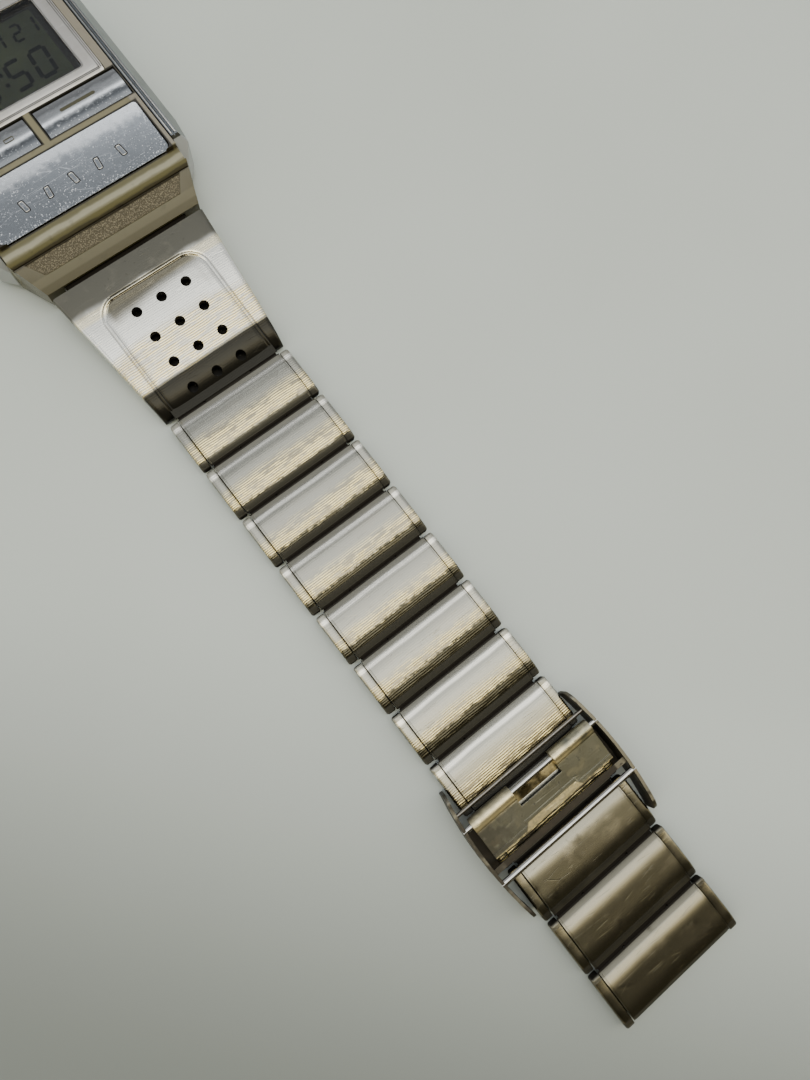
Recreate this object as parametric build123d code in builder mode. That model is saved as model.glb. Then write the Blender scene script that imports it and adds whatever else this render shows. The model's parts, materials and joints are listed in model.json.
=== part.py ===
from build123d import *
import os

os.makedirs("parts", exist_ok=True)

# Digital watch with a folded link bracelet, spread flat on its back.
# Millimetres. The origin is the centre of the case back, +Z leaves the face, +Y points to 12 o'clock.

# Fits shared by all pieces, and the sides of the small round features
overrun = 0.5
small_flats = 12
hold_fit = 0.01
running_fit = 0.04
slip_fit = 0.1
wall_fit = 0.15

# Bracelet links
link_width = 20.0
link_pitch = 8.35
six_links = 12
twelve_links = 3
link_floor = 0.5
link_sheet = 0.4
strip_width = 1.3
strip_groove = 0.1
strip_gap = 0.55
strip_rise = 1.75
strip_bevel = 0.2
panel_setback = 0.75
shoulder_rise = 1.8
crown_rise = 2.1
roll_radius = 0.7
seam_width = 1.2

# Link hinges
hinge_rise = 0.85
pin_radius = 0.35
pin_flats = 12
knuckle_radius = 0.6
knuckle_flats = 12
knuckle_gap = 0.2
centre_knuckle_half = 3.8
ear_inset = 0.3

# Case body
case_reach = 24.2
body_half_width = 14.45
hood_narrowing = 2.05
reveal = 0.2
reveal_drop = 2.4
deck_height = 8.0
belly_setback = 5.2
lug_floor = 1.6
ridge_rise_length = 1.55
ridge_step = 0.7
ridge_fall_length = 1.05
ridge_crest_drop = 0.25
hood_slope_length = 2.35
groove_width = 0.2
ridge_fall = 0.65
groove_depth = 0.35
hood_lip_length = 1.9
hood_slope_fall = 1.0
hood_lip_fall = 0.9
hood_panel_inset = 1.9
hood_panel_narrowing = 1.5
hood_panel_depth = 0.12
hood_panel_length = 2.1

# Bars between case and bracelet
bar_inset = 0.6
bar_height = 2.85
bar_radius = 0.7
bar_lug = 2.5
bar_tip_radius = 0.45
bar_tip_length = 1.4
bar_knuckle_radius = 1.1
bar_recess_clearance = 0.2

# Module room
room_side_wall = 2.35
room_low_wall = 2.05
room_high_wall = 1.45
room_roof = 2.8
window_side_border = 2.3
window_low_border = 1.95
window_high_border = 3.2
window_round = 0.5
glass_margin = 0.65

# Case back, gasket and screws
back_thickness = 0.9
back_side_margin = 0.65
back_end_margin = 0.2
back_round = 3.0
back_bevel = 0.3
screw_side_inset = 1.9
screw_end_inset = 1.2
screw_radius = 0.55
screw_length = 2.4
screw_head_radius = 1.15
screw_head_height = 0.4
screw_slot_width = 0.3
screw_slot_depth = 0.2
gasket_side_inset = 0.85
gasket_end_inset = 2.5
gasket_width = 0.6
gasket_height = 0.48
gasket_round = 1.5

# Display frame and crystal
frame_side_margin = 1.5
frame_strip = 0.4
frame_end_margin = 0.65
frame_thickness = 0.7
frame_sink = 0.6
frame_round = 0.4
frame_bevel_run = 1.25
frame_bevel_drop = 0.45
crystal_flange = 0.5
crystal_margin = 1.25
crystal_sink = 0.08

# Display and works
lcd_glass = 0.8
lcd_ledge = 0.45
cell_side_wall = 2.1
cell_flats = 32
cell_height = 1.6
cell_lift = 0.5
cell_centre = 0.5
cell_lip = 0.35
board_thickness = 0.6
board_notch = 1.5
housing_wall = 0.7
chip_side = 5.0
chip_height = 0.8
chip_setback = 6.1
quartz_radius = 0.7
quartz_length = 6.0
quartz_setback = 1.9
quartz_across = -2.5
strip_connector_width = 1.4
strip_connector_margin = 0.65
strip_connector_inset = 0.9
guide_margin = 0.75
guide_thin = 0.8
leaf_width = 1.6
leaf_length = 4.0
leaf_sheet = 0.15
leaf_rise = 0.35
clip_width = 5.0
clip_sheet = 0.2
clip_overhang = 1.3
clip_window = 3.0
buzzer_radius = 7.0
buzzer_height = 0.2

# Front buttons
pocket_roof = 0.6
button_gap = 1.6
button_side_margin = 0.55
button_strip = 1.45
button_width = 4.75
button_lift = 0.7
button_edge_drop = 0.15
button_crown_rise = 0.2
stem_radius = 0.8
stem_reach_down = 0.45
stem_flange_radius = 1.25
stem_flange_height = 0.25
stem_flange_drop = 0.15
spring_half_length = 1.8
spring_width = 1.6
spring_sheet = 0.15

# Light button
light_side_margin = 1.05
light_length = 8.4
light_lift = 0.6
light_high_rise = 0.1
light_low_drop = 0.5
light_round = 0.9
light_stem_inset = 4.4

# Side rails
rail_width = 2.75
rail_foot_height = 1.5
rail_foot_round = 0.8
rail_flank_height = 5.2
rail_top_width = 1.05
rail_line_width = 0.12
rail_line_depth = 0.15
rail_line_inset = 0.5
rail_taper_length = 7.0
rail_end_length = 2.0
rail_taper = 1.0
rail_end_margin = 0.1
rail_end_width = 0.15
rail_end_height = 5.0
rail_slope_length = 3.2
rail_peg_radius = 0.7
rail_peg_length = 1.2
rail_peg_setback = 10.0
rail_peg_height = 3.6

# End pieces
end_start_gap = 0.6
end_length = 23.2
end_start_height = 4.5
end_start_depth = 1.6
end_stop_height = 2.55
end_bow = 0.2
end_sheet = 0.7
end_skirt = 0.6
end_roll = 1.1
hood_reveal = 0.05
end_panel_rise = 0.2
end_panel_margin = 1.6
end_panel_setback = 4.4
end_panel_round = 3.0
end_foot_setback = 0.8
hole_radius = 0.74
hole_spacing_across = 4.06
hole_spacing_along = 4.23
hole_columns = 3
hole_rows = 4
hole_centre_setback = 8.8

# Sliding clasp
carriage_link = 9
carriage_offset = 0.75
wing_length = 19.2
wing_sheet = 0.45
wing_clearance = 0.4
wing_bow = 0.95
wing_steps = 8
wing_foot = 0.05
wing_height = 3.85
wing_corner = 1.3
sole_length = 6.5
sole_sheet = 0.35
crossbar_length = 0.8
crossbar_sheet = 0.35
crossbar_setback = 11.3
crossbar_floor = 2.95
front_bar_radius = 0.3
front_bar_setback = 3.2
front_bar_height = 3.05
flap_pin_radius = 0.4
flap_pin_setback = 5.3
flap_pin_height = 3.45
catch_rod_radius = 0.45
catch_rod_setback = 13.35
catch_rod_height = 3.4
flap_overhang = 0.2
flap_crest_radius = 1.1
flap_floor = 3.1
flap_sheet = 0.42
flap_length = 5.2
flap_tip_height = 3.35
flap_notch_half = 3.5
flap_notch_length = 2.1
flap_strip = 0.7
flap_strip_rise = 0.12
flap_strip_wide = 0.7
flap_strip_wide_half = 4.4

# Fold-over cover and hook
hook_plate_length = 12.0
hook_plate_floor = 1.2
hook_plate_sheet = 0.5
hook_inset = 1.4
hook_bend_radius = 0.55
hook_step = 0.55
hook_step_length = 1.0
hook_lip = 0.6
cheek_inner = 6.5
cheek_thickness = 0.7
cheek_radius = 0.55
cover_pin_radius = 0.35
cover_pin_setback = 2.4
cover_pin_height = 2.6
cover_rise = 0.6
cover_start = 0.6
cover_knuckle_half = 6.3
cover_overhang = 0.1
cover_length = 16.5
cover_sheet = 0.5
cover_bow = 0.35
cover_end_drop = 0.5
cover_flange = 0.5
cover_flange_drop = 1.3
cover_flange_start = 3.0

# Worked out from the sizes above
hinge_height = link_floor + hinge_rise
panel_half = link_width / 2 - strip_width - strip_groove
ear_start = centre_knuckle_half + knuckle_gap
hood_half_width = body_half_width - hood_narrowing
belly_reach = case_reach - belly_setback
hood_break_reach = case_reach - hood_lip_length
groove_reach = hood_break_reach - hood_slope_length - groove_width
ridge_crest_reach = groove_reach - ridge_fall_length
ridge_reach = ridge_crest_reach - ridge_rise_length
ridge_height = deck_height - ridge_step
ridge_crest_height = ridge_height - ridge_crest_drop
groove_height = ridge_crest_height - ridge_fall
hood_break_height = groove_height - hood_slope_fall
hood_edge_height = hood_break_height - hood_lip_fall
reveal_height = deck_height - reveal_drop
bar_reach = case_reach - bar_inset
bar_half_length = hood_half_width - bar_lug
light_low = ridge_reach - wall_fit
light_high = light_low - light_length
button_low = light_high - button_strip
button_high = button_low - button_width
frame_low = button_high - frame_strip
frame_high = ridge_reach - frame_end_margin
frame_half_width = body_half_width - frame_side_margin
window_half_width = frame_half_width - window_side_border
window_low = frame_low - window_low_border
window_high = frame_high - window_high_border
frame_seat = deck_height - frame_sink
light_half_width = body_half_width - light_side_margin
button_length = body_half_width - button_side_margin - button_gap / 2
light_stem_across = light_half_width - light_stem_inset
light_spring_across = light_stem_across / 2
room_half_width = body_half_width - room_side_wall
room_low = ridge_reach - room_low_wall
room_high = ridge_reach - room_high_wall
room_ceiling = deck_height - room_roof
pocket_floor = room_ceiling + pocket_roof
button_floor = pocket_floor + button_lift
button_edge_height = deck_height - button_edge_drop
button_crown_height = deck_height + button_crown_rise
light_floor = pocket_floor + light_lift
light_high_height = deck_height + light_high_rise
light_low_height = deck_height - light_low_drop
stem_foot = room_ceiling - stem_reach_down
back_half_width = body_half_width - back_side_margin
back_half_length = belly_reach - back_end_margin
screw_across = back_half_width - screw_side_inset
screw_reach = back_half_length - screw_end_inset
gasket_half_width = back_half_width - gasket_side_inset
gasket_half_length = back_half_length - gasket_end_inset
cell_floor = back_thickness + cell_lift
cell_radius = room_half_width - cell_side_wall
clip_half_length = cell_radius + clip_overhang
chip_centre = chip_setback - room_low
quartz_centre = quartz_setback - room_low
strip_connector_half = window_half_width - strip_connector_margin
guide_half_width = window_half_width - guide_margin
rail_straight_reach = belly_reach - rail_taper_length
rail_taper_reach = belly_reach - rail_end_length
rail_end_reach = belly_reach - rail_end_margin
rail_slope_reach = belly_reach - rail_slope_length
rail_peg_reach = belly_reach - rail_peg_setback
end_half_width = hood_half_width - hood_reveal
end_panel_half_width = link_width / 2 - end_panel_margin
flap_half_width = link_width / 2 + flap_overhang
cover_half_width = link_width / 2 + cover_overhang
hook_half_width = link_width / 2 - hook_inset
ear_length = panel_half - ear_inset - ear_start
end_reach = case_reach + end_start_gap
bracelet_reach = end_reach + end_length


def side_view(half, reach=0.0, across=0.0):
    """Plane seen from the side: first axis away from the case, second axis up."""
    return Plane(origin=(half * across, half * reach, 0), x_dir=(0, half, 0), z_dir=(half, 0, 0))


def top_view(half, height, reach=0.0):
    """Plane seen from above: second axis away from the case."""
    return Plane(origin=(0, half * reach, height), x_dir=(half, 0, 0), z_dir=(0, 0, 1))


# Bracelet links and end pieces


def link_start(number):
    """Reach of the hinge on the case side of a link."""
    return bracelet_reach + (number - 1) * link_pitch


def bracelet_link(name, half, start, is_last=False):
    """Crowned panel of folded sheet between two side strips, with its knuckles and its hinge pin."""
    view = side_view(half, start)
    near = panel_setback
    far = link_pitch - panel_setback
    shoulder = link_floor + shoulder_rise
    crown = link_floor + crown_rise
    inner_floor = link_floor + link_sheet
    with BuildPart() as link:
        with BuildSketch(view) as shell:
            with BuildLine():
                Polyline((far, shoulder), (far, link_floor), (near, link_floor), (near, shoulder))
                ThreePointArc((near, shoulder), (link_pitch / 2, crown), (far, shoulder))
            make_face()
            fillet(shell.vertices().group_by(Axis.Y)[-1], radius=roll_radius)
            with BuildLine():
                Polyline(
                    (near + link_sheet, inner_floor),
                    (near + link_sheet, shoulder - roll_radius),
                    (near + roll_radius, shoulder - link_sheet),
                    (far - roll_radius, shoulder - link_sheet),
                    (far - link_sheet, shoulder - roll_radius),
                    (far - link_sheet, inner_floor),
                    close=True,
                )
            make_face(mode=Mode.SUBTRACT)
            with Locations((link_pitch / 2, link_floor)):
                Rectangle(seam_width, 2 * link_sheet + slip_fit, mode=Mode.SUBTRACT)
        extrude(amount=panel_half, both=True)

        # Side strips, and the webs that hold them below the fine groove
        with BuildSketch(side_view(half, start, panel_half + strip_groove)) as strip:
            with Locations((strip_gap / 2, link_floor)):
                Rectangle(link_pitch - strip_gap, strip_rise, align=(Align.MIN, Align.MIN))
            chamfer(strip.vertices().group_by(Axis.Y)[-1], length=strip_bevel)
        extrude(amount=strip_width)
        with BuildSketch(side_view(half, start, panel_half - link_sheet)):
            with Locations((near + link_sheet, link_floor)):
                Rectangle(
                    far - near - 2 * link_sheet,
                    link_sheet,
                    align=(Align.MIN, Align.MIN),
                )
        extrude(amount=link_sheet + strip_groove + link_sheet)

        # Ears on the case side that hold the pin
        with BuildSketch(side_view(half, start, ear_start)):
            with Locations((0, hinge_height)):
                RegularPolygon(knuckle_radius, knuckle_flats)
                Rectangle(near + link_sheet, 2 * knuckle_radius, align=(Align.MIN, Align.CENTER))
        extrude(amount=ear_length)
        mirror(about=Plane.YZ)
        with BuildSketch(view):
            with Locations((0, hinge_height)):
                Circle(pin_radius)
        extrude(amount=ear_start + ear_length / 2, both=True)

        # Centre knuckle that turns on the next link's pin
        if not is_last:
            with BuildSketch(view):
                with Locations((link_pitch, hinge_height)):
                    RegularPolygon(knuckle_radius, knuckle_flats)
                    Rectangle(
                        panel_setback + link_sheet,
                        2 * knuckle_radius,
                        align=(Align.MAX, Align.CENTER),
                    )
                    RegularPolygon(
                        pin_radius + running_fit,
                        pin_flats,
                        major_radius=False,
                        mode=Mode.SUBTRACT,
                    )
            extrude(amount=centre_knuckle_half, both=True)
    link.part.label = name
    export_step(link.part, f"parts/{name}.step")


def taper_block(half, inset):
    """Block with the tapered outline of an end piece, drawn smaller by the inset."""
    with BuildPart() as block:
        with BuildSketch(top_view(half, 0)):
            with BuildLine():
                Polyline(
                    (-end_half_width + inset, end_reach - slip_fit),
                    (end_half_width - inset, end_reach - slip_fit),
                    (link_width / 2 - inset, bracelet_reach),
                    (-link_width / 2 + inset, bracelet_reach),
                    close=True,
                )
            make_face()
        extrude(amount=case_reach)
    return block.part


def end_profile(half, drop, foot_rise):
    """Bowed slab seen from the side: its top lies the drop below the skin, its foot is raised by the foot rise."""
    stop = bracelet_reach - end_foot_setback
    with BuildPart() as slab:
        with BuildSketch(side_view(half)):
            with BuildLine():
                Polyline(
                    (end_reach, end_start_height - drop),
                    (
                        (end_reach + stop) / 2,
                        (end_start_height + end_stop_height) / 2 + end_bow - drop,
                    ),
                    (stop - end_roll, end_stop_height - drop),
                    (stop - drop, end_stop_height - end_roll),
                    (stop - drop, link_floor + foot_rise),
                    (end_reach + end_start_depth, end_start_height - end_start_depth + foot_rise),
                    (end_reach, end_start_height - end_start_depth + foot_rise),
                    (end_reach, end_start_height - drop),
                )
            make_face()
        extrude(amount=end_half_width, both=True)
    return slab.part


def end_piece(name, half):
    """Tapered end piece of formed sheet with a raised panel, round holes and a knuckle for the bar."""
    outline = taper_block(half, 0)
    inner_outline = taper_block(half, end_skirt)
    with BuildPart() as hollow:
        add(end_profile(half, end_sheet, -end_start_depth))
        add(inner_outline, mode=Mode.INTERSECT)
    with BuildPart() as panel:
        add(end_profile(half, -end_panel_rise, end_sheet))
        with BuildSketch(top_view(half, 0)) as field:
            length = end_length - end_foot_setback - end_panel_setback
            with Locations((0, end_reach + end_panel_setback)):
                Rectangle(2 * end_panel_half_width, length, align=(Align.CENTER, Align.MIN))
            fillet(field.vertices().group_by(Axis.Y)[0], radius=end_panel_round)
        extrude(amount=case_reach, mode=Mode.INTERSECT)
    with BuildPart() as piece:
        add(end_profile(half, 0, 0))
        add(outline, mode=Mode.INTERSECT)
        add(panel.part)
        add(hollow.part, mode=Mode.SUBTRACT)

        # Knuckle on the bar and the web that carries it
        with BuildSketch(side_view(half)):
            with Locations((bar_reach, bar_height)):
                RegularPolygon(bar_knuckle_radius, small_flats)
            with BuildLine():
                Polyline(
                    (bar_reach, bar_height - bar_knuckle_radius),
                    (end_reach + end_start_depth, bar_height - bar_knuckle_radius / 2),
                    (end_reach + end_start_depth, end_start_height - end_sheet),
                    (end_reach, end_start_height - end_sheet),
                    (bar_reach, bar_height),
                    close=True,
                )
            make_face()
            with Locations((bar_reach, bar_height)):
                RegularPolygon(
                    bar_radius + running_fit,
                    small_flats,
                    major_radius=False,
                    mode=Mode.SUBTRACT,
                )
        extrude(amount=bar_half_length - slip_fit, both=True)

        # Centre knuckle for the first link
        with BuildSketch(side_view(half)):
            with Locations((bracelet_reach, hinge_height)):
                RegularPolygon(knuckle_radius, knuckle_flats)
                Rectangle(
                    end_foot_setback + end_sheet,
                    2 * knuckle_radius,
                    align=(Align.MAX, Align.CENTER),
                )
                RegularPolygon(
                    pin_radius + running_fit,
                    pin_flats,
                    major_radius=False,
                    mode=Mode.SUBTRACT,
                )
        extrude(amount=centre_knuckle_half, both=True)

        # Round holes through the panel
        with BuildSketch(top_view(half, case_reach)):
            with Locations((0, bracelet_reach - hole_centre_setback)):
                with GridLocations(hole_spacing_across, hole_spacing_along, hole_columns, hole_rows):
                    RegularPolygon(hole_radius, small_flats)
        extrude(amount=-case_reach, mode=Mode.SUBTRACT)
    piece.part.label = name
    export_step(piece.part, f"parts/{name}.step")


for number in range(1, six_links + 1):
    bracelet_link(f"link_six_{number:02d}", -1, link_start(number), is_last=number == six_links)
for number in range(1, twelve_links + 1):
    bracelet_link(f"link_twelve_{number:02d}", 1, link_start(number))
end_piece("end_piece_six", -1)
end_piece("end_piece_twelve", 1)


def spring_bar(name, half):
    """Bar across the hood: a tube with a narrow tip at each end."""
    with BuildPart() as bar:
        with BuildSketch(side_view(half)):
            with Locations((bar_reach, bar_height)):
                RegularPolygon(bar_radius, small_flats)
        extrude(amount=bar_half_length, both=True)
        with BuildSketch(side_view(half)):
            with Locations((bar_reach, bar_height)):
                RegularPolygon(bar_tip_radius, small_flats)
        extrude(amount=bar_half_length + bar_tip_length, both=True)
    bar.part.label = name
    export_step(bar.part, f"parts/{name}.step")


spring_bar("spring_bar_six", -1)
spring_bar("spring_bar_twelve", 1)

# Case body

body_floor = back_thickness
bar_recess_radius = bar_knuckle_radius + bar_recess_clearance
window_centre = (window_high - window_low) / 2
window_height = window_high + window_low
room_centre = (room_high - room_low) / 2
frame_centre = (frame_high - frame_low) / 2
frame_height = frame_high + frame_low
button_centre = -(button_low + button_high) / 2
button_across = (button_gap + button_length) / 2
light_centre = -(light_low + light_high) / 2
lcd_floor = frame_seat - crystal_flange - wall_fit - 2 * lcd_glass

with BuildPart() as case_body:
    with BuildSketch(Plane.YZ):
        with BuildLine():
            Polyline(
                (0, deck_height),
                (ridge_reach, deck_height),
                (ridge_reach, ridge_height),
            )
            ThreePointArc(
                (ridge_reach, ridge_height),
                (ridge_crest_reach, ridge_crest_height),
                (groove_reach, groove_height),
            )
            Polyline(
                (groove_reach, groove_height),
                (groove_reach, groove_height - groove_depth),
                (groove_reach + groove_width, groove_height - groove_depth),
                (groove_reach + groove_width, groove_height),
                (hood_break_reach, hood_break_height),
                (case_reach, hood_edge_height),
                (case_reach, lug_floor),
                (belly_reach, body_floor),
                (0, body_floor),
            )
            mirror(about=Plane.YZ)
        make_face()
    extrude(amount=body_half_width, both=True)

    # Plan outline, narrowing along the hoods
    with BuildSketch(Plane.XY):
        with BuildLine():
            Polyline(
                (0, case_reach),
                (hood_half_width, case_reach),
                (body_half_width, belly_reach),
                (body_half_width, 0),
            )
            mirror(about=Plane.YZ)
            mirror(about=Plane.XZ)
        make_face()
    extrude(amount=deck_height, mode=Mode.INTERSECT)

    # Shallow panels on the slopes of the hoods
    for half in (-1, 1):
        slope = Plane(
            origin=(0, half * (groove_reach + groove_width), groove_height),
            x_dir=(half, 0, 0),
            z_dir=(
                0,
                half * (groove_height - hood_break_height),
                hood_break_reach - groove_reach - groove_width,
            ),
        )
        with BuildSketch(slope):
            with BuildLine():
                Polyline(
                    (-body_half_width + hood_panel_inset, slip_fit),
                    (body_half_width - hood_panel_inset, slip_fit),
                    (body_half_width - hood_panel_inset - hood_panel_narrowing, hood_panel_length),
                    (-body_half_width + hood_panel_inset + hood_panel_narrowing, hood_panel_length),
                    close=True,
                )
            make_face()
        extrude(amount=-hood_panel_depth, mode=Mode.SUBTRACT)

    # Flanks step back above the rail seats, which shows as a dark line
    with BuildSketch(Plane.XY.offset(reveal_height)):
        with Locations((-body_half_width, 0), (body_half_width, 0)):
            Rectangle(2 * reveal, 2 * belly_reach)
    extrude(amount=deck_height, mode=Mode.SUBTRACT)

    # Display window, crystal seat and frame seat
    with BuildSketch(Plane.XY.offset(room_ceiling - overrun)):
        with Locations((0, window_centre)):
            Rectangle(
                2 * (window_half_width + glass_margin + wall_fit),
                window_height + 2 * (glass_margin + wall_fit),
            )
    extrude(amount=deck_height, mode=Mode.SUBTRACT)
    with BuildSketch(Plane.XY.offset(frame_seat - crystal_flange)):
        with Locations((0, window_centre)):
            Rectangle(
                2 * (window_half_width + crystal_margin + slip_fit),
                window_height + 2 * (crystal_margin + slip_fit),
            )
    extrude(amount=deck_height, mode=Mode.SUBTRACT)
    with BuildSketch(Plane.XY.offset(frame_seat)):
        with Locations((0, frame_centre)):
            RectangleRounded(
                2 * (frame_half_width + slip_fit),
                frame_height + 2 * slip_fit,
                frame_round,
            )
    extrude(amount=deck_height, mode=Mode.SUBTRACT)

    # Room for the works, open to the back
    with BuildSketch(Plane.XY):
        with Locations((0, room_centre)):
            RectangleRounded(2 * room_half_width, room_low + room_high, gasket_round)
    extrude(amount=room_ceiling, mode=Mode.SUBTRACT)

    # Pockets and stem holes of the front buttons
    with BuildSketch(Plane.XY.offset(pocket_floor)):
        with Locations((-button_across, button_centre), (button_across, button_centre)):
            Rectangle(button_length + 2 * wall_fit, button_width + 2 * slip_fit)
        with Locations((0, light_centre)):
            RectangleRounded(
                2 * (light_half_width + wall_fit),
                light_length + 2 * wall_fit,
                light_round,
            )
    extrude(amount=deck_height, mode=Mode.SUBTRACT)
    with BuildSketch(Plane.XY.offset(room_ceiling - overrun)):
        with Locations(
            (-button_across, button_centre),
            (button_across, button_centre),
            (-light_stem_across, light_centre),
            (light_stem_across, light_centre),
        ):
            RegularPolygon(stem_radius + running_fit, small_flats)
    extrude(amount=deck_height, mode=Mode.SUBTRACT)

    # Recesses under the hoods for the bars and the bracelet knuckles
    with BuildSketch(Plane.YZ) as recess:
        with Locations((bar_reach, bar_height)):
            Circle(bar_recess_radius)
            Rectangle(
                case_reach,
                bar_recess_radius,
                align=(Align.MIN, Align.MIN),
            )
        with Locations((bar_reach - bar_recess_radius, bar_height)):
            Rectangle(
                case_reach,
                case_reach,
                align=(Align.MIN, Align.MAX),
            )
        mirror(about=Plane.YZ)
    extrude(amount=bar_half_length + slip_fit, both=True, mode=Mode.SUBTRACT)
    with BuildSketch(Plane.YZ):
        with Locations((-bar_reach, bar_height), (bar_reach, bar_height)):
            RegularPolygon(bar_tip_radius + hold_fit, small_flats)
    extrude(
        amount=bar_half_length + bar_tip_length + slip_fit,
        both=True,
        mode=Mode.SUBTRACT,
    )

    # Gasket groove and screw holes in the underside
    with BuildSketch(Plane.XY.offset(body_floor)):
        RectangleRounded(
            2 * gasket_half_width + gasket_width,
            2 * gasket_half_length + gasket_width,
            gasket_round + gasket_width,
        )
        RectangleRounded(
            2 * gasket_half_width - gasket_width,
            2 * gasket_half_length - gasket_width,
            gasket_round,
            mode=Mode.SUBTRACT,
        )
        with GridLocations(2 * screw_across, 2 * screw_reach, 2, 2):
            RegularPolygon(screw_radius + hold_fit, small_flats)
    extrude(amount=gasket_height, mode=Mode.SUBTRACT)
    with BuildSketch(Plane.XY.offset(body_floor)):
        with GridLocations(2 * screw_across, 2 * screw_reach, 2, 2):
            RegularPolygon(screw_radius + hold_fit, small_flats)
    extrude(amount=screw_length, mode=Mode.SUBTRACT)

    # Sockets for the pegs of the side rails
    for half in (-1, 1):
        with BuildSketch(side_view(half, across=body_half_width)):
            with Locations(
                (-rail_peg_reach, rail_peg_height),
                (rail_peg_reach, rail_peg_height),
            ):
                RegularPolygon(rail_peg_radius + hold_fit, small_flats)
        extrude(amount=-rail_peg_length - slip_fit, mode=Mode.SUBTRACT)
case_body.part.label = "case_body"
export_step(case_body.part, "parts/case_body.step")

# Side rails, held by pegs in the flanks of the body

rail_outer = body_half_width + rail_width


def side_rail(name, half):
    """Rail with a flat top land, a fine line, a wide outer bevel and tapered ends."""
    with BuildPart() as rail:
        with BuildSketch(Plane(origin=(0, 0, 0), x_dir=(half, 0, 0), z_dir=(0, -half, 0))):
            with BuildLine():
                Polyline(
                    (body_half_width, rail_foot_height),
                    (rail_outer - rail_foot_round, rail_foot_height),
                    (rail_outer, rail_foot_height + rail_foot_round),
                    (rail_outer, rail_flank_height),
                    (body_half_width + rail_top_width, deck_height),
                    (body_half_width, deck_height),
                    close=True,
                )
            make_face()
            with Locations((body_half_width + rail_line_inset, deck_height)):
                Rectangle(rail_line_width, 2 * rail_line_depth, mode=Mode.SUBTRACT)
        extrude(amount=rail_end_reach, both=True)
        with BuildSketch(top_view(half, 0)):
            with BuildLine():
                Polyline(
                    (0, rail_end_reach),
                    (body_half_width + rail_end_width, rail_end_reach),
                    (rail_outer - rail_taper, rail_taper_reach),
                    (rail_outer, rail_straight_reach),
                    (rail_outer, 0),
                )
                mirror(about=Plane.XZ)
                Line((0, rail_end_reach), (0, -rail_end_reach))
            make_face()
        extrude(amount=deck_height, mode=Mode.INTERSECT)
        with BuildSketch(Plane.YZ):
            with BuildLine():
                Polyline(
                    (0, deck_height),
                    (rail_slope_reach, deck_height),
                    (rail_end_reach, rail_end_height),
                    (rail_end_reach, 0),
                    (0, 0),
                )
                mirror(about=Plane.YZ)
            make_face()
        extrude(amount=rail_outer, both=True, mode=Mode.INTERSECT)
        with BuildSketch(side_view(half, across=body_half_width)):
            with Locations(
                (-rail_peg_reach, rail_peg_height),
                (rail_peg_reach, rail_peg_height),
            ):
                RegularPolygon(rail_peg_radius, small_flats)
        extrude(amount=-rail_peg_length)
    rail.part.label = name
    export_step(rail.part, f"parts/{name}.step")


side_rail("side_rail_left", -1)
side_rail("side_rail_right", 1)

# Case back with its gasket and screws

with BuildPart() as case_back:
    with BuildSketch(Plane.XY):
        RectangleRounded(2 * back_half_width, 2 * back_half_length, back_round)
    extrude(amount=back_thickness)
    chamfer(case_back.faces().sort_by(Axis.Z)[0].edges(), length=back_bevel)
    with BuildSketch(Plane.XY):
        with GridLocations(2 * screw_across, 2 * screw_reach, 2, 2):
            RegularPolygon(screw_radius + running_fit, small_flats)
    extrude(amount=back_thickness, mode=Mode.SUBTRACT)
    with BuildSketch(Plane.XY):
        with GridLocations(2 * screw_across, 2 * screw_reach, 2, 2):
            RegularPolygon(screw_head_radius + slip_fit, small_flats)
    extrude(amount=screw_head_height + slip_fit, mode=Mode.SUBTRACT)
case_back.part.label = "case_back"
export_step(case_back.part, "parts/case_back.step")

with BuildPart() as back_screws:
    with BuildSketch(Plane.XY.offset(slip_fit)):
        with GridLocations(2 * screw_across, 2 * screw_reach, 2, 2):
            RegularPolygon(screw_head_radius, small_flats)
    extrude(amount=screw_head_height)
    with BuildSketch(Plane.XY.offset(slip_fit)):
        with GridLocations(2 * screw_across, 2 * screw_reach, 2, 2):
            RegularPolygon(screw_radius, small_flats)
    extrude(amount=screw_head_height + screw_length)
    with BuildSketch(Plane.XY.offset(slip_fit)):
        with GridLocations(2 * screw_across, 2 * screw_reach, 2, 2):
            Rectangle(2 * screw_head_radius, screw_slot_width)
    extrude(amount=screw_slot_depth, mode=Mode.SUBTRACT)
back_screws.part.label = "back_screws"
export_step(back_screws.part, "parts/back_screws.step")

with BuildPart() as back_gasket:
    with BuildSketch(Plane.XY.offset(body_floor)):
        RectangleRounded(
            2 * gasket_half_width + gasket_width - 2 * slip_fit,
            2 * gasket_half_length + gasket_width - 2 * slip_fit,
            gasket_round + gasket_width - slip_fit,
        )
        RectangleRounded(
            2 * gasket_half_width - gasket_width + 2 * slip_fit,
            2 * gasket_half_length - gasket_width + 2 * slip_fit,
            gasket_round + slip_fit,
            mode=Mode.SUBTRACT,
        )
    extrude(amount=gasket_height - hold_fit)
back_gasket.part.label = "back_gasket"
export_step(back_gasket.part, "parts/back_gasket.step")

# Display frame and crystal

frame_top = frame_seat + frame_thickness

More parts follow.
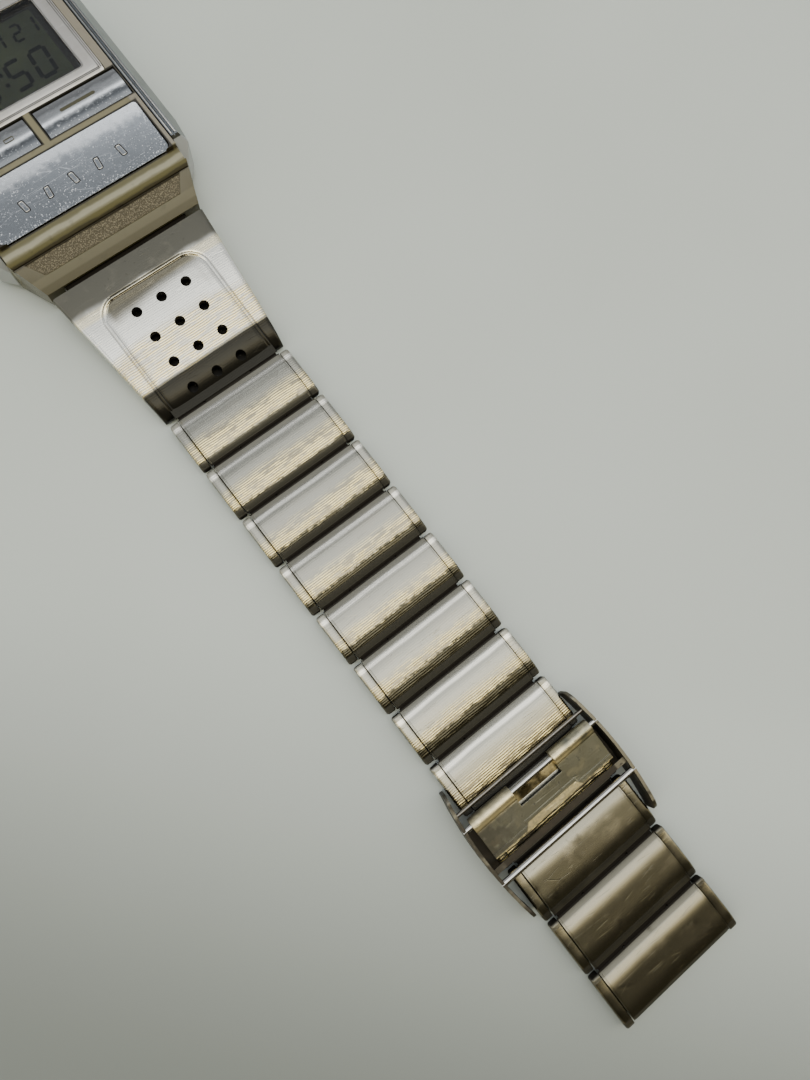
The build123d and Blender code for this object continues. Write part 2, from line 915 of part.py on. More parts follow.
with BuildPart() as display_frame:
    with BuildSketch(Plane.XY.offset(frame_seat)):
        with Locations((0, frame_centre)):
            RectangleRounded(2 * frame_half_width, frame_height, frame_round)
        with Locations((0, window_centre)):
            RectangleRounded(2 * window_half_width, window_height, window_round, mode=Mode.SUBTRACT)
    extrude(amount=frame_thickness)
    # Bevels that fall away below and above the window
    with BuildSketch(Plane.YZ):
        for edge, step in ((-frame_low, 1), (frame_high, -1)):
            with BuildLine():
                Polyline(
                    (edge - step * overrun, frame_top + overrun),
                    (edge + step * frame_bevel_run, frame_top + overrun),
                    (edge + step * frame_bevel_run, frame_top),
                    (edge, frame_top - frame_bevel_drop),
                    (edge - step * overrun, frame_top - frame_bevel_drop),
                    close=True,
                )
            make_face()
    extrude(amount=frame_half_width, both=True, mode=Mode.SUBTRACT)
display_frame.part.label = "display_frame"
export_step(display_frame.part, "parts/display_frame.step")

with BuildPart() as crystal:
    with BuildSketch(Plane.XY.offset(frame_seat - crystal_flange)):
        with Locations((0, window_centre)):
            Rectangle(
                2 * (window_half_width + crystal_margin),
                window_height + 2 * crystal_margin,
            )
    extrude(amount=crystal_flange)
    with BuildSketch(Plane.XY.offset(frame_seat)):
        with Locations((0, window_centre)):
            RectangleRounded(
                2 * (window_half_width - running_fit),
                window_height - 2 * running_fit,
                window_round,
            )
    extrude(amount=frame_thickness - crystal_sink)
crystal.part.label = "crystal"
export_step(crystal.part, "parts/crystal.step")

# Display, light guide and connectors

with BuildPart() as lcd_panel:
    with BuildSketch(Plane.XY.offset(lcd_floor)):
        with Locations((0, window_centre)):
            Rectangle(
                2 * (window_half_width + glass_margin),
                window_height + 2 * glass_margin,
            )
    extrude(amount=lcd_glass)
    with BuildSketch(Plane.XY.offset(lcd_floor + lcd_glass)):
        with Locations((0, window_centre)):
            Rectangle(
                2 * (window_half_width + glass_margin),
                window_height + 2 * glass_margin - 2 * lcd_ledge,
            )
    extrude(amount=lcd_glass)
lcd_panel.part.label = "lcd_panel"
export_step(lcd_panel.part, "parts/lcd_panel.step")

board_floor = cell_floor + cell_height + slip_fit
board_top = board_floor + board_thickness

with BuildPart() as connector_strips:
    with BuildSketch(Plane.XY.offset(board_top)):
        for reach in (
            -window_low - glass_margin + strip_connector_inset,
            window_high + glass_margin - strip_connector_inset,
        ):
            with Locations((0, reach)):
                Rectangle(2 * strip_connector_half, strip_connector_width)
    extrude(amount=lcd_floor - board_top)
connector_strips.part.label = "connector_strips"
export_step(connector_strips.part, "parts/connector_strips.step")

with BuildPart() as light_guide:
    guide_low = -window_low - glass_margin + strip_connector_inset + strip_connector_width / 2 + wall_fit
    guide_high = window_high + glass_margin - strip_connector_inset - strip_connector_width / 2 - wall_fit
    with BuildSketch(Plane.YZ):
        with BuildLine():
            Polyline(
                (guide_low, board_top),
                (guide_high, lcd_floor - guide_thin),
                (guide_high, lcd_floor - slip_fit),
                (guide_low, lcd_floor - slip_fit),
                close=True,
            )
        make_face()
    extrude(amount=guide_half_width, both=True)
light_guide.part.label = "light_guide"
export_step(light_guide.part, "parts/light_guide.step")

# Works in the room of the body

with BuildPart() as module_housing:
    with BuildSketch(Plane.XY.offset(cell_floor)):
        with Locations((0, room_centre)):
            RectangleRounded(
                2 * (room_half_width - wall_fit),
                room_low + room_high - 2 * wall_fit,
                gasket_round,
            )
        with Locations((0, cell_centre)):
            RegularPolygon(
                cell_radius + wall_fit,
                cell_flats,
                major_radius=False,
                mode=Mode.SUBTRACT,
            )
    extrude(amount=room_ceiling - slip_fit - cell_floor)
    with BuildSketch(Plane.XY.offset(board_floor)):
        with Locations((0, room_centre)):
            Rectangle(
                2 * (room_half_width - wall_fit - housing_wall),
                room_low + room_high - 2 * wall_fit - 2 * housing_wall,
            )
    extrude(amount=room_ceiling, mode=Mode.SUBTRACT)
module_housing.part.label = "module_housing"
export_step(module_housing.part, "parts/module_housing.step")

with BuildPart() as circuit_board:
    with BuildSketch(Plane.XY.offset(board_floor)):
        with Locations((0, room_centre)):
            Rectangle(
                2 * (room_half_width - housing_wall - 2 * wall_fit),
                room_low + room_high - 2 * housing_wall - 4 * wall_fit,
            )
            with GridLocations(
                2 * (room_half_width - housing_wall - 2 * wall_fit),
                room_low + room_high - 2 * housing_wall - 4 * wall_fit,
                2,
                2,
            ):
                Rectangle(board_notch, board_notch, mode=Mode.SUBTRACT)
    extrude(amount=board_thickness)
circuit_board.part.label = "circuit_board"
export_step(circuit_board.part, "parts/circuit_board.step")

with BuildPart() as ic_chip:
    with BuildSketch(Plane.XY.offset(board_top)) as chip:
        with Locations((0, chip_centre)):
            Rectangle(chip_side, chip_side)
        chamfer(chip.vertices(), length=chip_height / 2)
    extrude(amount=chip_height)
ic_chip.part.label = "ic_chip"
export_step(ic_chip.part, "parts/ic_chip.step")

with BuildPart() as quartz_crystal:
    with BuildSketch(Plane.YZ.offset(quartz_across)):
        with Locations((quartz_centre, board_top + quartz_radius)):
            Circle(quartz_radius)
    extrude(amount=quartz_length / 2, both=True)
quartz_crystal.part.label = "quartz_crystal"
export_step(quartz_crystal.part, "parts/quartz_crystal.step")

with BuildPart() as contact_leaves:
    leaf_spots = (
        (-button_across, button_centre),
        (button_across, button_centre),
        (light_stem_across, light_centre),
    )
    for across, reach in leaf_spots:
        with BuildSketch(Plane.XZ.offset(-reach)):
            with BuildLine():
                Polyline(
                    (across - leaf_length / 2, board_top),
                    (across + leaf_length / 2, board_top + leaf_rise),
                    (across + leaf_length / 2, board_top + leaf_rise + leaf_sheet),
                    (across, board_top + leaf_rise + leaf_sheet),
                    (across - leaf_length / 2, board_top + leaf_sheet),
                    close=True,
                )
            make_face()
        extrude(amount=leaf_width / 2, both=True)
contact_leaves.part.label = "contact_leaves"
export_step(contact_leaves.part, "parts/contact_leaves.step")

with BuildPart() as coin_cell:
    with BuildSketch(Plane.XY.offset(cell_floor)):
        with Locations((0, cell_centre)):
            RegularPolygon(cell_radius, cell_flats)
    extrude(amount=cell_height - cell_lip)
    with BuildSketch(Plane.XY.offset(cell_floor + cell_height - cell_lip)):
        with Locations((0, cell_centre)):
            RegularPolygon(cell_radius - 2 * cell_lip, cell_flats)
    extrude(amount=cell_lip)
coin_cell.part.label = "coin_cell"
export_step(coin_cell.part, "parts/coin_cell.step")

with BuildPart() as battery_clip:
    with BuildSketch(Plane.XY.offset(cell_floor - clip_sheet)):
        with Locations((0, cell_centre)):
            Rectangle(2 * clip_half_length, clip_width)
            Rectangle(clip_width, 2 * clip_half_length)
            Rectangle(clip_window, clip_window, mode=Mode.SUBTRACT)
    extrude(amount=clip_sheet)
battery_clip.part.label = "battery_clip"
export_step(battery_clip.part, "parts/battery_clip.step")

with BuildPart() as buzzer_disc:
    with BuildSketch(Plane.XY.offset(back_thickness)):
        Circle(buzzer_radius)
    extrude(amount=buzzer_height)
buzzer_disc.part.label = "buzzer_disc"
export_step(buzzer_disc.part, "parts/buzzer_disc.step")

# Front buttons


def stem_set(spots, top):
    """Stems that pass through the roof of the room, each with a retaining ring below the roof."""
    with BuildPart() as stems:
        with BuildSketch(Plane.XY.offset(stem_foot)):
            with Locations(*spots):
                RegularPolygon(stem_radius, small_flats)
        extrude(amount=top - stem_foot)
        with BuildSketch(Plane.XY.offset(room_ceiling - stem_flange_drop - stem_flange_height)):
            with Locations(*spots):
                RegularPolygon(stem_flange_radius, small_flats)
        extrude(amount=stem_flange_height)
    return stems.part


def small_button(name, side):
    """Small bar button, convex from 12 to 6 o'clock."""
    stems = stem_set(((side * button_across, button_centre),), button_floor + slip_fit)
    with BuildPart() as button:
        with BuildSketch(Plane.YZ.offset(side * button_across)):
            with BuildLine():
                Polyline(
                    (-button_low, button_edge_height),
                    (-button_low, button_floor),
                    (-button_high, button_floor),
                    (-button_high, button_edge_height),
                )
                ThreePointArc(
                    (-button_high, button_edge_height),
                    (button_centre, button_crown_height),
                    (-button_low, button_edge_height),
                )
            make_face()
        extrude(amount=button_length / 2, both=True)
        add(stems)
    button.part.label = name
    export_step(button.part, f"parts/{name}.step")


small_button("button_left", -1)
small_button("button_right", 1)

light_stem_spots = ((-light_stem_across, light_centre), (light_stem_across, light_centre))
light_stems = stem_set(light_stem_spots, light_floor + slip_fit)

with BuildPart() as light_button:
    with BuildSketch(Plane.YZ):
        with BuildLine():
            Polyline(
                (-light_low, light_low_height),
                (-light_low, light_floor),
                (-light_high, light_floor),
                (-light_high, light_high_height),
                close=True,
            )
        make_face()
    extrude(amount=light_half_width, both=True)
    with BuildSketch(Plane.XY) as light_outline:
        with Locations((0, light_centre)):
            Rectangle(2 * light_half_width, light_length)
        fillet(light_outline.vertices().group_by(Axis.Y)[0], radius=light_round)
        fillet(light_outline.vertices().group_by(Axis.Y)[-1], radius=light_round / 2)
    extrude(amount=light_high_height, mode=Mode.INTERSECT)
    add(light_stems)
light_button.part.label = "light_button"
export_step(light_button.part, "parts/light_button.step")


def leaf_spring(name, floor, spots):
    """Bowed leaf springs between the pocket floor and a button."""
    with BuildPart() as spring:
        for across, reach in spots:
            with BuildSketch(Plane.XZ.offset(-reach)):
                with BuildLine():
                    Polyline(
                        (across - spring_half_length, pocket_floor),
                        (across, floor - spring_sheet),
                        (across + spring_half_length, pocket_floor),
                        (across + spring_half_length, pocket_floor + spring_sheet),
                        (across, floor),
                        (across - spring_half_length, pocket_floor + spring_sheet),
                        close=True,
                    )
                make_face()
            extrude(amount=spring_width / 2, both=True)
    spring.part.label = name
    export_step(spring.part, f"parts/{name}.step")


for name, side in (("button_spring_left", -1), ("button_spring_right", 1)):
    leaf_spring(
        name,
        button_floor,
        (
            (side * button_across - button_length / 4, button_centre),
            (side * button_across + button_length / 4, button_centre),
        ),
    )
leaf_spring(
    "light_spring",
    light_floor,
    ((-light_spring_across, light_centre), (light_spring_across, light_centre)),
)

# Sliding clasp: a frame with two bowed wings, three rods and a flap

wing_start = link_start(carriage_link) + link_pitch / 2 + carriage_offset - wing_length / 2
wing_end = wing_start + wing_length
wing_middle = (wing_start + wing_end) / 2
wing_inner = link_width / 2 + wing_clearance
clasp_rods = (
    ("front_bar", front_bar_setback, front_bar_height, front_bar_radius),
    ("flap_pin", flap_pin_setback, flap_pin_height, flap_pin_radius),
    ("catch_rod", catch_rod_setback, catch_rod_height, catch_rod_radius),
)


def wing_across(setback):
    """Distance from the middle of the bracelet to the inner face of a wing."""
    share = (2 * setback / wing_length - 1) ** 2
    return wing_inner + wing_bow * (1 - share)


with BuildPart() as clasp_frame:
    # Plan of the wings, the sole below the links and the cross bar above them
    with BuildSketch(top_view(-1, wing_foot)):
        steps = [step * wing_length / wing_steps for step in range(wing_steps + 1)]
        outer = [(wing_across(step) + wing_sheet, wing_start + step) for step in steps]
        inner = [(wing_across(step), wing_start + step) for step in reversed(steps)]
        with BuildLine():
            Polyline(*outer, *inner, close=True)
        make_face()
        mirror(about=Plane.YZ)
    extrude(amount=wing_height - wing_foot)
    with BuildSketch(side_view(-1)) as outline:
        with Locations((wing_middle, 0)):
            Rectangle(wing_length, wing_height, align=(Align.CENTER, Align.MIN))
        fillet(outline.vertices().group_by(Axis.Y)[-1], radius=wing_corner)
    extrude(amount=wing_inner + wing_bow + wing_sheet, both=True, mode=Mode.INTERSECT)
    with BuildSketch(top_view(-1, wing_foot, wing_middle)):
        Rectangle(2 * (wing_inner + wing_bow), sole_length)
    extrude(amount=sole_sheet)
    with BuildSketch(top_view(-1, crossbar_floor, wing_start + crossbar_setback)):
        Rectangle(
            2 * (wing_across(crossbar_setback) + wing_sheet / 2),
            crossbar_length,
            align=(Align.CENTER, Align.MIN),
        )
    extrude(amount=crossbar_sheet)
    # Holes for the rods
    for name, setback, height, radius in clasp_rods:
        with BuildSketch(side_view(-1)):
            with Locations((wing_start + setback, height)):
                RegularPolygon(radius + hold_fit, small_flats)
        extrude(amount=wing_inner + wing_bow + wing_sheet, both=True, mode=Mode.SUBTRACT)
clasp_frame.part.label = "clasp_frame"
export_step(clasp_frame.part, "parts/clasp_frame.step")

for name, setback, height, radius in clasp_rods:
    with BuildPart() as rod:
        with BuildSketch(side_view(-1)):
            with Locations((wing_start + setback, height)):
                RegularPolygon(radius, small_flats)
        extrude(amount=wing_across(setback) + wing_sheet, both=True)
    rod.part.label = name
    export_step(rod.part, f"parts/{name}.step")

with BuildPart() as clasp_flap:
    pin_reach = wing_start + flap_pin_setback
    half_crest = flap_crest_radius / 2
    tip_reach = pin_reach + flap_length
    slope_share = (flap_pin_height + half_crest - flap_tip_height) / (flap_length - half_crest)
    strip_start = flap_tip_height + flap_strip * slope_share
    with BuildSketch(side_view(-1)):
        with Locations((pin_reach, flap_pin_height)):
            Circle(flap_crest_radius)
        with Locations((pin_reach, flap_floor)):
            Rectangle(
                2 * flap_crest_radius,
                2 * flap_crest_radius,
                align=(Align.CENTER, Align.MAX),
                mode=Mode.SUBTRACT,
            )
        with BuildLine():
            Polyline(
                (pin_reach + half_crest, flap_pin_height + half_crest),
                (tip_reach, flap_tip_height),
                (tip_reach, flap_tip_height - flap_sheet),
                (pin_reach + half_crest, flap_pin_height + half_crest - flap_sheet),
                close=True,
            )
        make_face()
        with BuildLine():
            Polyline(
                (tip_reach - flap_strip, strip_start + flap_strip_rise),
                (tip_reach, flap_tip_height + flap_strip_rise),
                (tip_reach, flap_tip_height - flap_sheet),
                (tip_reach - flap_strip, strip_start - flap_sheet),
                close=True,
            )
        make_face()
        with Locations((pin_reach, flap_pin_height)):
            RegularPolygon(
                flap_pin_radius + running_fit,
                small_flats,
                major_radius=False,
                mode=Mode.SUBTRACT,
            )
    extrude(amount=flap_half_width, both=True)
    with BuildSketch(side_view(-1)):
        with BuildLine():
            Polyline(
                (
                    tip_reach - flap_strip - flap_strip_wide,
                    strip_start + flap_strip_wide * slope_share + flap_strip_rise,
                ),
                (tip_reach - flap_strip, strip_start + flap_strip_rise),
                (tip_reach - flap_strip, strip_start - flap_sheet / 2),
                (
                    tip_reach - flap_strip - flap_strip_wide,
                    strip_start + flap_strip_wide * slope_share - flap_sheet / 2,
                ),
                close=True,
            )
        make_face()
    extrude(amount=flap_strip_wide_half, both=True)
    # Notch in the crest
    with BuildSketch(top_view(-1, 0, pin_reach + flap_notch_length)):
        Rectangle(
            2 * flap_notch_half,
            flap_notch_length + 2 * flap_crest_radius,
            align=(Align.CENTER, Align.MAX),
        )
    extrude(amount=case_reach, mode=Mode.SUBTRACT)
clasp_flap.part.label = "clasp_flap"
export_step(clasp_flap.part, "parts/clasp_flap.step")

# Hook and fold-over cover at the 12 o'clock end

hook_start = link_start(twelve_links + 1)
cover_pin_reach = hook_start + cover_pin_setback
hook_end = hook_start + hook_plate_length
hook_top = hook_plate_floor + hook_plate_sheet
raised_floor = hook_plate_floor + hook_step
bend_height = raised_floor - hook_bend_radius

with BuildPart() as hook_plate:
    with BuildSketch(side_view(1)):
        with Locations((hook_end, bend_height)):
            RegularPolygon(hook_bend_radius + hook_plate_sheet, small_flats)
            Rectangle(
                2 * (hook_bend_radius + hook_plate_sheet),
                2 * (hook_bend_radius + hook_plate_sheet),
                align=(Align.MAX, Align.CENTER),
                mode=Mode.SUBTRACT,
            )
        with BuildLine():
            Polyline(
                (hook_start + panel_setback, hook_plate_floor),
                (hook_end - 2 * hook_step_length, hook_plate_floor),
                (hook_end - hook_step_length, raised_floor),
                (hook_end, raised_floor),
                (hook_end, raised_floor + hook_plate_sheet),
                (hook_end - hook_step_length, raised_floor + hook_plate_sheet),
                (hook_end - 2 * hook_step_length, hook_top),
                (hook_start + panel_setback, hook_top),
                close=True,
            )
        make_face()
        with Locations((hook_end, bend_height - hook_bend_radius)):
            Rectangle(hook_lip, hook_plate_sheet, align=(Align.MAX, Align.MAX))
        with Locations((hook_end, bend_height)):
            RegularPolygon(hook_bend_radius, small_flats, mode=Mode.SUBTRACT)
    extrude(amount=hook_half_width, both=True)
    # Ears with the pin that joins the last link
    with BuildSketch(side_view(1, hook_start, ear_start)):
        with Locations((0, hinge_height)):
            RegularPolygon(knuckle_radius, knuckle_flats)
            Rectangle(
                panel_setback + link_sheet,
                2 * knuckle_radius,
                align=(Align.MIN, Align.CENTER),
            )
    extrude(amount=ear_length)
    mirror(about=Plane.YZ)
    with BuildSketch(side_view(1, hook_start)):
        with Locations((0, hinge_height)):
            Circle(pin_radius)
    extrude(amount=ear_start + ear_length / 2, both=True)
    # Cheeks that hold the pin of the cover
    with BuildSketch(side_view(1, across=cheek_inner)):
        with Locations((cover_pin_reach, cover_pin_height)):
            RegularPolygon(cheek_radius, small_flats)
            Rectangle(
                2 * (cheek_radius - slip_fit),
                cover_pin_height - hook_plate_floor,
                align=(Align.CENTER, Align.MAX),
            )
            RegularPolygon(
                cover_pin_radius + hold_fit,
                small_flats,
                major_radius=False,
                mode=Mode.SUBTRACT,
            )
    extrude(amount=cheek_thickness)
    mirror(about=Plane.YZ)
hook_plate.part.label = "hook_plate"
export_step(hook_plate.part, "parts/hook_plate.step")

with BuildPart() as cover_pin:
    with BuildSketch(side_view(1)):
        with Locations((cover_pin_reach, cover_pin_height)):
            Circle(cover_pin_radius)
    extrude(amount=cheek_inner + cheek_thickness, both=True)
cover_pin.part.label = "cover_pin"
export_step(cover_pin.part, "parts/cover_pin.step")

with BuildPart() as clasp_cover:
    cover_near = cover_pin_reach - cover_start
    cover_far = cover_near + cover_length
    cover_floor = cover_pin_height + cover_rise
    cover_top = cover_floor + cover_sheet
    with BuildSketch(side_view(1)):
        with BuildLine():
            Line((cover_near, cover_floor), (cover_near, cover_top))
            ThreePointArc(
                (cover_near, cover_top),
                ((cover_near + cover_far) / 2, cover_top + cover_bow - cover_end_drop / 2),
                (cover_far, cover_top - cover_end_drop),
            )
            Line((cover_far, cover_top - cover_end_drop), (cover_far, cover_floor - cover_end_drop))
            ThreePointArc(
                (cover_far, cover_floor - cover_end_drop),
                ((cover_near + cover_far) / 2, cover_floor + cover_bow - cover_end_drop / 2),
                (cover_near, cover_floor),
            )
        make_face()
    extrude(amount=cover_half_width, both=True)
    # Flanges turned down along both sides
    with BuildSketch(side_view(1, across=cover_half_width - cover_flange)):
        with BuildLine():
            Polyline(
                (cover_pin_reach + cover_flange_start, cover_floor + cover_sheet / 2),
                (cover_far, cover_floor - cover_end_drop + cover_sheet / 2),
                (cover_far, cover_top - cover_end_drop - cover_flange_drop),
                (cover_pin_reach + cover_flange_start + cover_sheet, cover_top - cover_flange_drop),
                close=True,
            )
        make_face()
    extrude(amount=cover_flange)
    mirror(about=Plane.YZ)
    # Knuckle on the pin
    with BuildSketch(side_view(1)):
        with Locations((cover_pin_reach, cover_pin_height)):
            RegularPolygon(cover_rise, small_flats)
            Rectangle(
                2 * cover_rise,
                cover_rise + cover_sheet / 2,
                align=(Align.CENTER, Align.MIN),
            )
            RegularPolygon(
                cover_pin_radius + running_fit,
                small_flats,
                major_radius=False,
                mode=Mode.SUBTRACT,
            )
    extrude(amount=cover_knuckle_half, both=True)
clasp_cover.part.label = "clasp_cover"
export_step(clasp_cover.part, "parts/clasp_cover.step")
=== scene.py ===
"""Looks of a steel digital watch lying open on a pale table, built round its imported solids.

Sizes in the dataclasses are in millimetres; meshes are written in metres. Reach is the distance
from the middle of the case along the bracelet, towards six o'clock (-Y) or twelve o'clock (+Y).
"""

import json
import logging
import math
from dataclasses import dataclass
from enum import Enum
from typing import Any, Callable, ClassVar, Sequence

import bmesh
import bpy
from mathutils import Matrix, Vector

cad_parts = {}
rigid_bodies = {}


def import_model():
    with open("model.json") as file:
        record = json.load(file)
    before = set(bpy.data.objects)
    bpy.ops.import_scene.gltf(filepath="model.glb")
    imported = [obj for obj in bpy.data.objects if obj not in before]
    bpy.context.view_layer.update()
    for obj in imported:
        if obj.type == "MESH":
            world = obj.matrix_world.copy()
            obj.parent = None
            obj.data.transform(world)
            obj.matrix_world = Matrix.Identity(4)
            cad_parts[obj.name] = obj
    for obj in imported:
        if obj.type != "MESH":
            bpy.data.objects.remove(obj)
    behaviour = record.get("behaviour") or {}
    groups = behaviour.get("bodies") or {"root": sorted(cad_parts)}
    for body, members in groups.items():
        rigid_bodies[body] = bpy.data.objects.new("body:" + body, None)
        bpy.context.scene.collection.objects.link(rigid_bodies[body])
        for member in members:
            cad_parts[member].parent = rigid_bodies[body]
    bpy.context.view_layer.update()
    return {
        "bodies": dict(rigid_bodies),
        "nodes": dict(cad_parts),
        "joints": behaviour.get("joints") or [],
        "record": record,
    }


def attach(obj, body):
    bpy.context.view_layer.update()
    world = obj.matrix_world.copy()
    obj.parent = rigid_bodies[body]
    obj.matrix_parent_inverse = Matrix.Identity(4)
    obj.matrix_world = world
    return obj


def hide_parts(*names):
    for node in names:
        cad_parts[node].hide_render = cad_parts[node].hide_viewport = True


MM = 0.001
LOG = logging.getLogger("digital_watch")
Point = tuple[float, float]
Station = tuple[float, float]
Triple = tuple[float, float, float]
Tone = Triple
Box = tuple[Point, Point]


class Half(Enum):
    """The two halves of the bracelet, by the sign of Y."""

    SIX = -1
    TWELVE = 1


# ---------------------------------------------------------------- node trees


class Value:
    """A socket that takes part in sums and adds its own Math nodes."""

    def __init__(self, graph: "Graph", socket: Any) -> None:
        """Keeps the graph and its socket."""
        self.graph = graph
        self.socket = socket

    def math(self, operation: str, *others: Any, clamp: bool = False) -> "Value":
        """Adds one Math node.

        Args:
            operation: the Math node's operation.
            others: the second and third values.
            clamp: whether the result is kept within 0 and 1.
        Returns:
            The node's result.
        """
        inputs = dict(enumerate((self, *others)))
        settings = {"operation": operation, "use_clamp": clamp}
        node = self.graph.add("ShaderNodeMath", settings, inputs)
        return Value(self.graph, node.outputs[0])

    def __add__(self, other: Any) -> "Value":
        """Sum."""
        return self.math("ADD", other)

    __radd__ = __add__

    def __mul__(self, other: Any) -> "Value":
        """Product."""
        return self.math("MULTIPLY", other)

    __rmul__ = __mul__

    def __sub__(self, other: Any) -> "Value":
        """Difference."""
        return self.math("SUBTRACT", other)

    def __rsub__(self, other: Any) -> "Value":
        """Difference from a plain number."""
        return (self * -1.0).math("ADD", other)

    def __truediv__(self, other: Any) -> "Value":
        """Quotient."""
        return self.math("DIVIDE", other)

    def __abs__(self) -> "Value":
        """Size without sign."""
        return self.math("ABSOLUTE")

    def least(self, other: Any) -> "Value":
        """The smaller of two values."""
        return self.math("MINIMUM", other)

    def most(self, other: Any) -> "Value":
        """The larger of two values."""
        return self.math("MAXIMUM", other)

    def power(self, exponent: float) -> "Value":
        """The value raised to a power."""
        return self.math("POWER", exponent)

    def rise(self, low: float, high: float) -> "Value":
        """A smooth step.

        Args:
            low: where the step is 0.
            high: where the step is 1; below low, the step falls.
        Returns:
            The step, from 0 to 1.
        """
        if low > high:
            return 1.0 - self.rise(high, low)
        node = self.graph.add("ShaderNodeMapRange", {"interpolation_type": "SMOOTHSTEP"},
                              {"Value": self, "From Min": low, "From Max": high})
        return Value(self.graph, node.outputs["Result"])

    def band(self, low: float, high: float, edge: float) -> "Value":
        """1 between two values, falling to 0 over an edge width outside them."""
        return self.rise(low - edge, low) * self.rise(high + edge, high)


class Graph:
    """A node tree with one way to add a node."""

    def __init__(self, tree: bpy.types.NodeTree) -> None:
        """Keeps the tree."""
        self.tree = tree

    def add(self, kind: str, settings: dict[str, Any] | None = None,
            inputs: dict[Any, Any] | None = None) -> bpy.types.Node:
        """Adds a node.

        Args:
            kind: the node's type.
            settings: its properties, set first.
            inputs: values or links for its sockets, by name or number.
        Returns:
            The node.
        """
        node = self.tree.nodes.new(kind)
        for key, value in (settings or {}).items():
            setattr(node, key, value)
        for key, value in (inputs or {}).items():
            self.plug(node.inputs[key], value)
        return node

    def plug(self, socket: Any, value: Any) -> None:
        """Links a socket, or sets its value."""
        if isinstance(value, Value):
            self.tree.links.new(value.socket, socket)
        elif isinstance(value, bpy.types.NodeSocket):
            self.tree.links.new(value, socket)
        elif isinstance(value, tuple) and len(value) == 3 and socket.type == "RGBA":
            socket.default_value = (*value, 1.0)
        else:
            socket.default_value = value


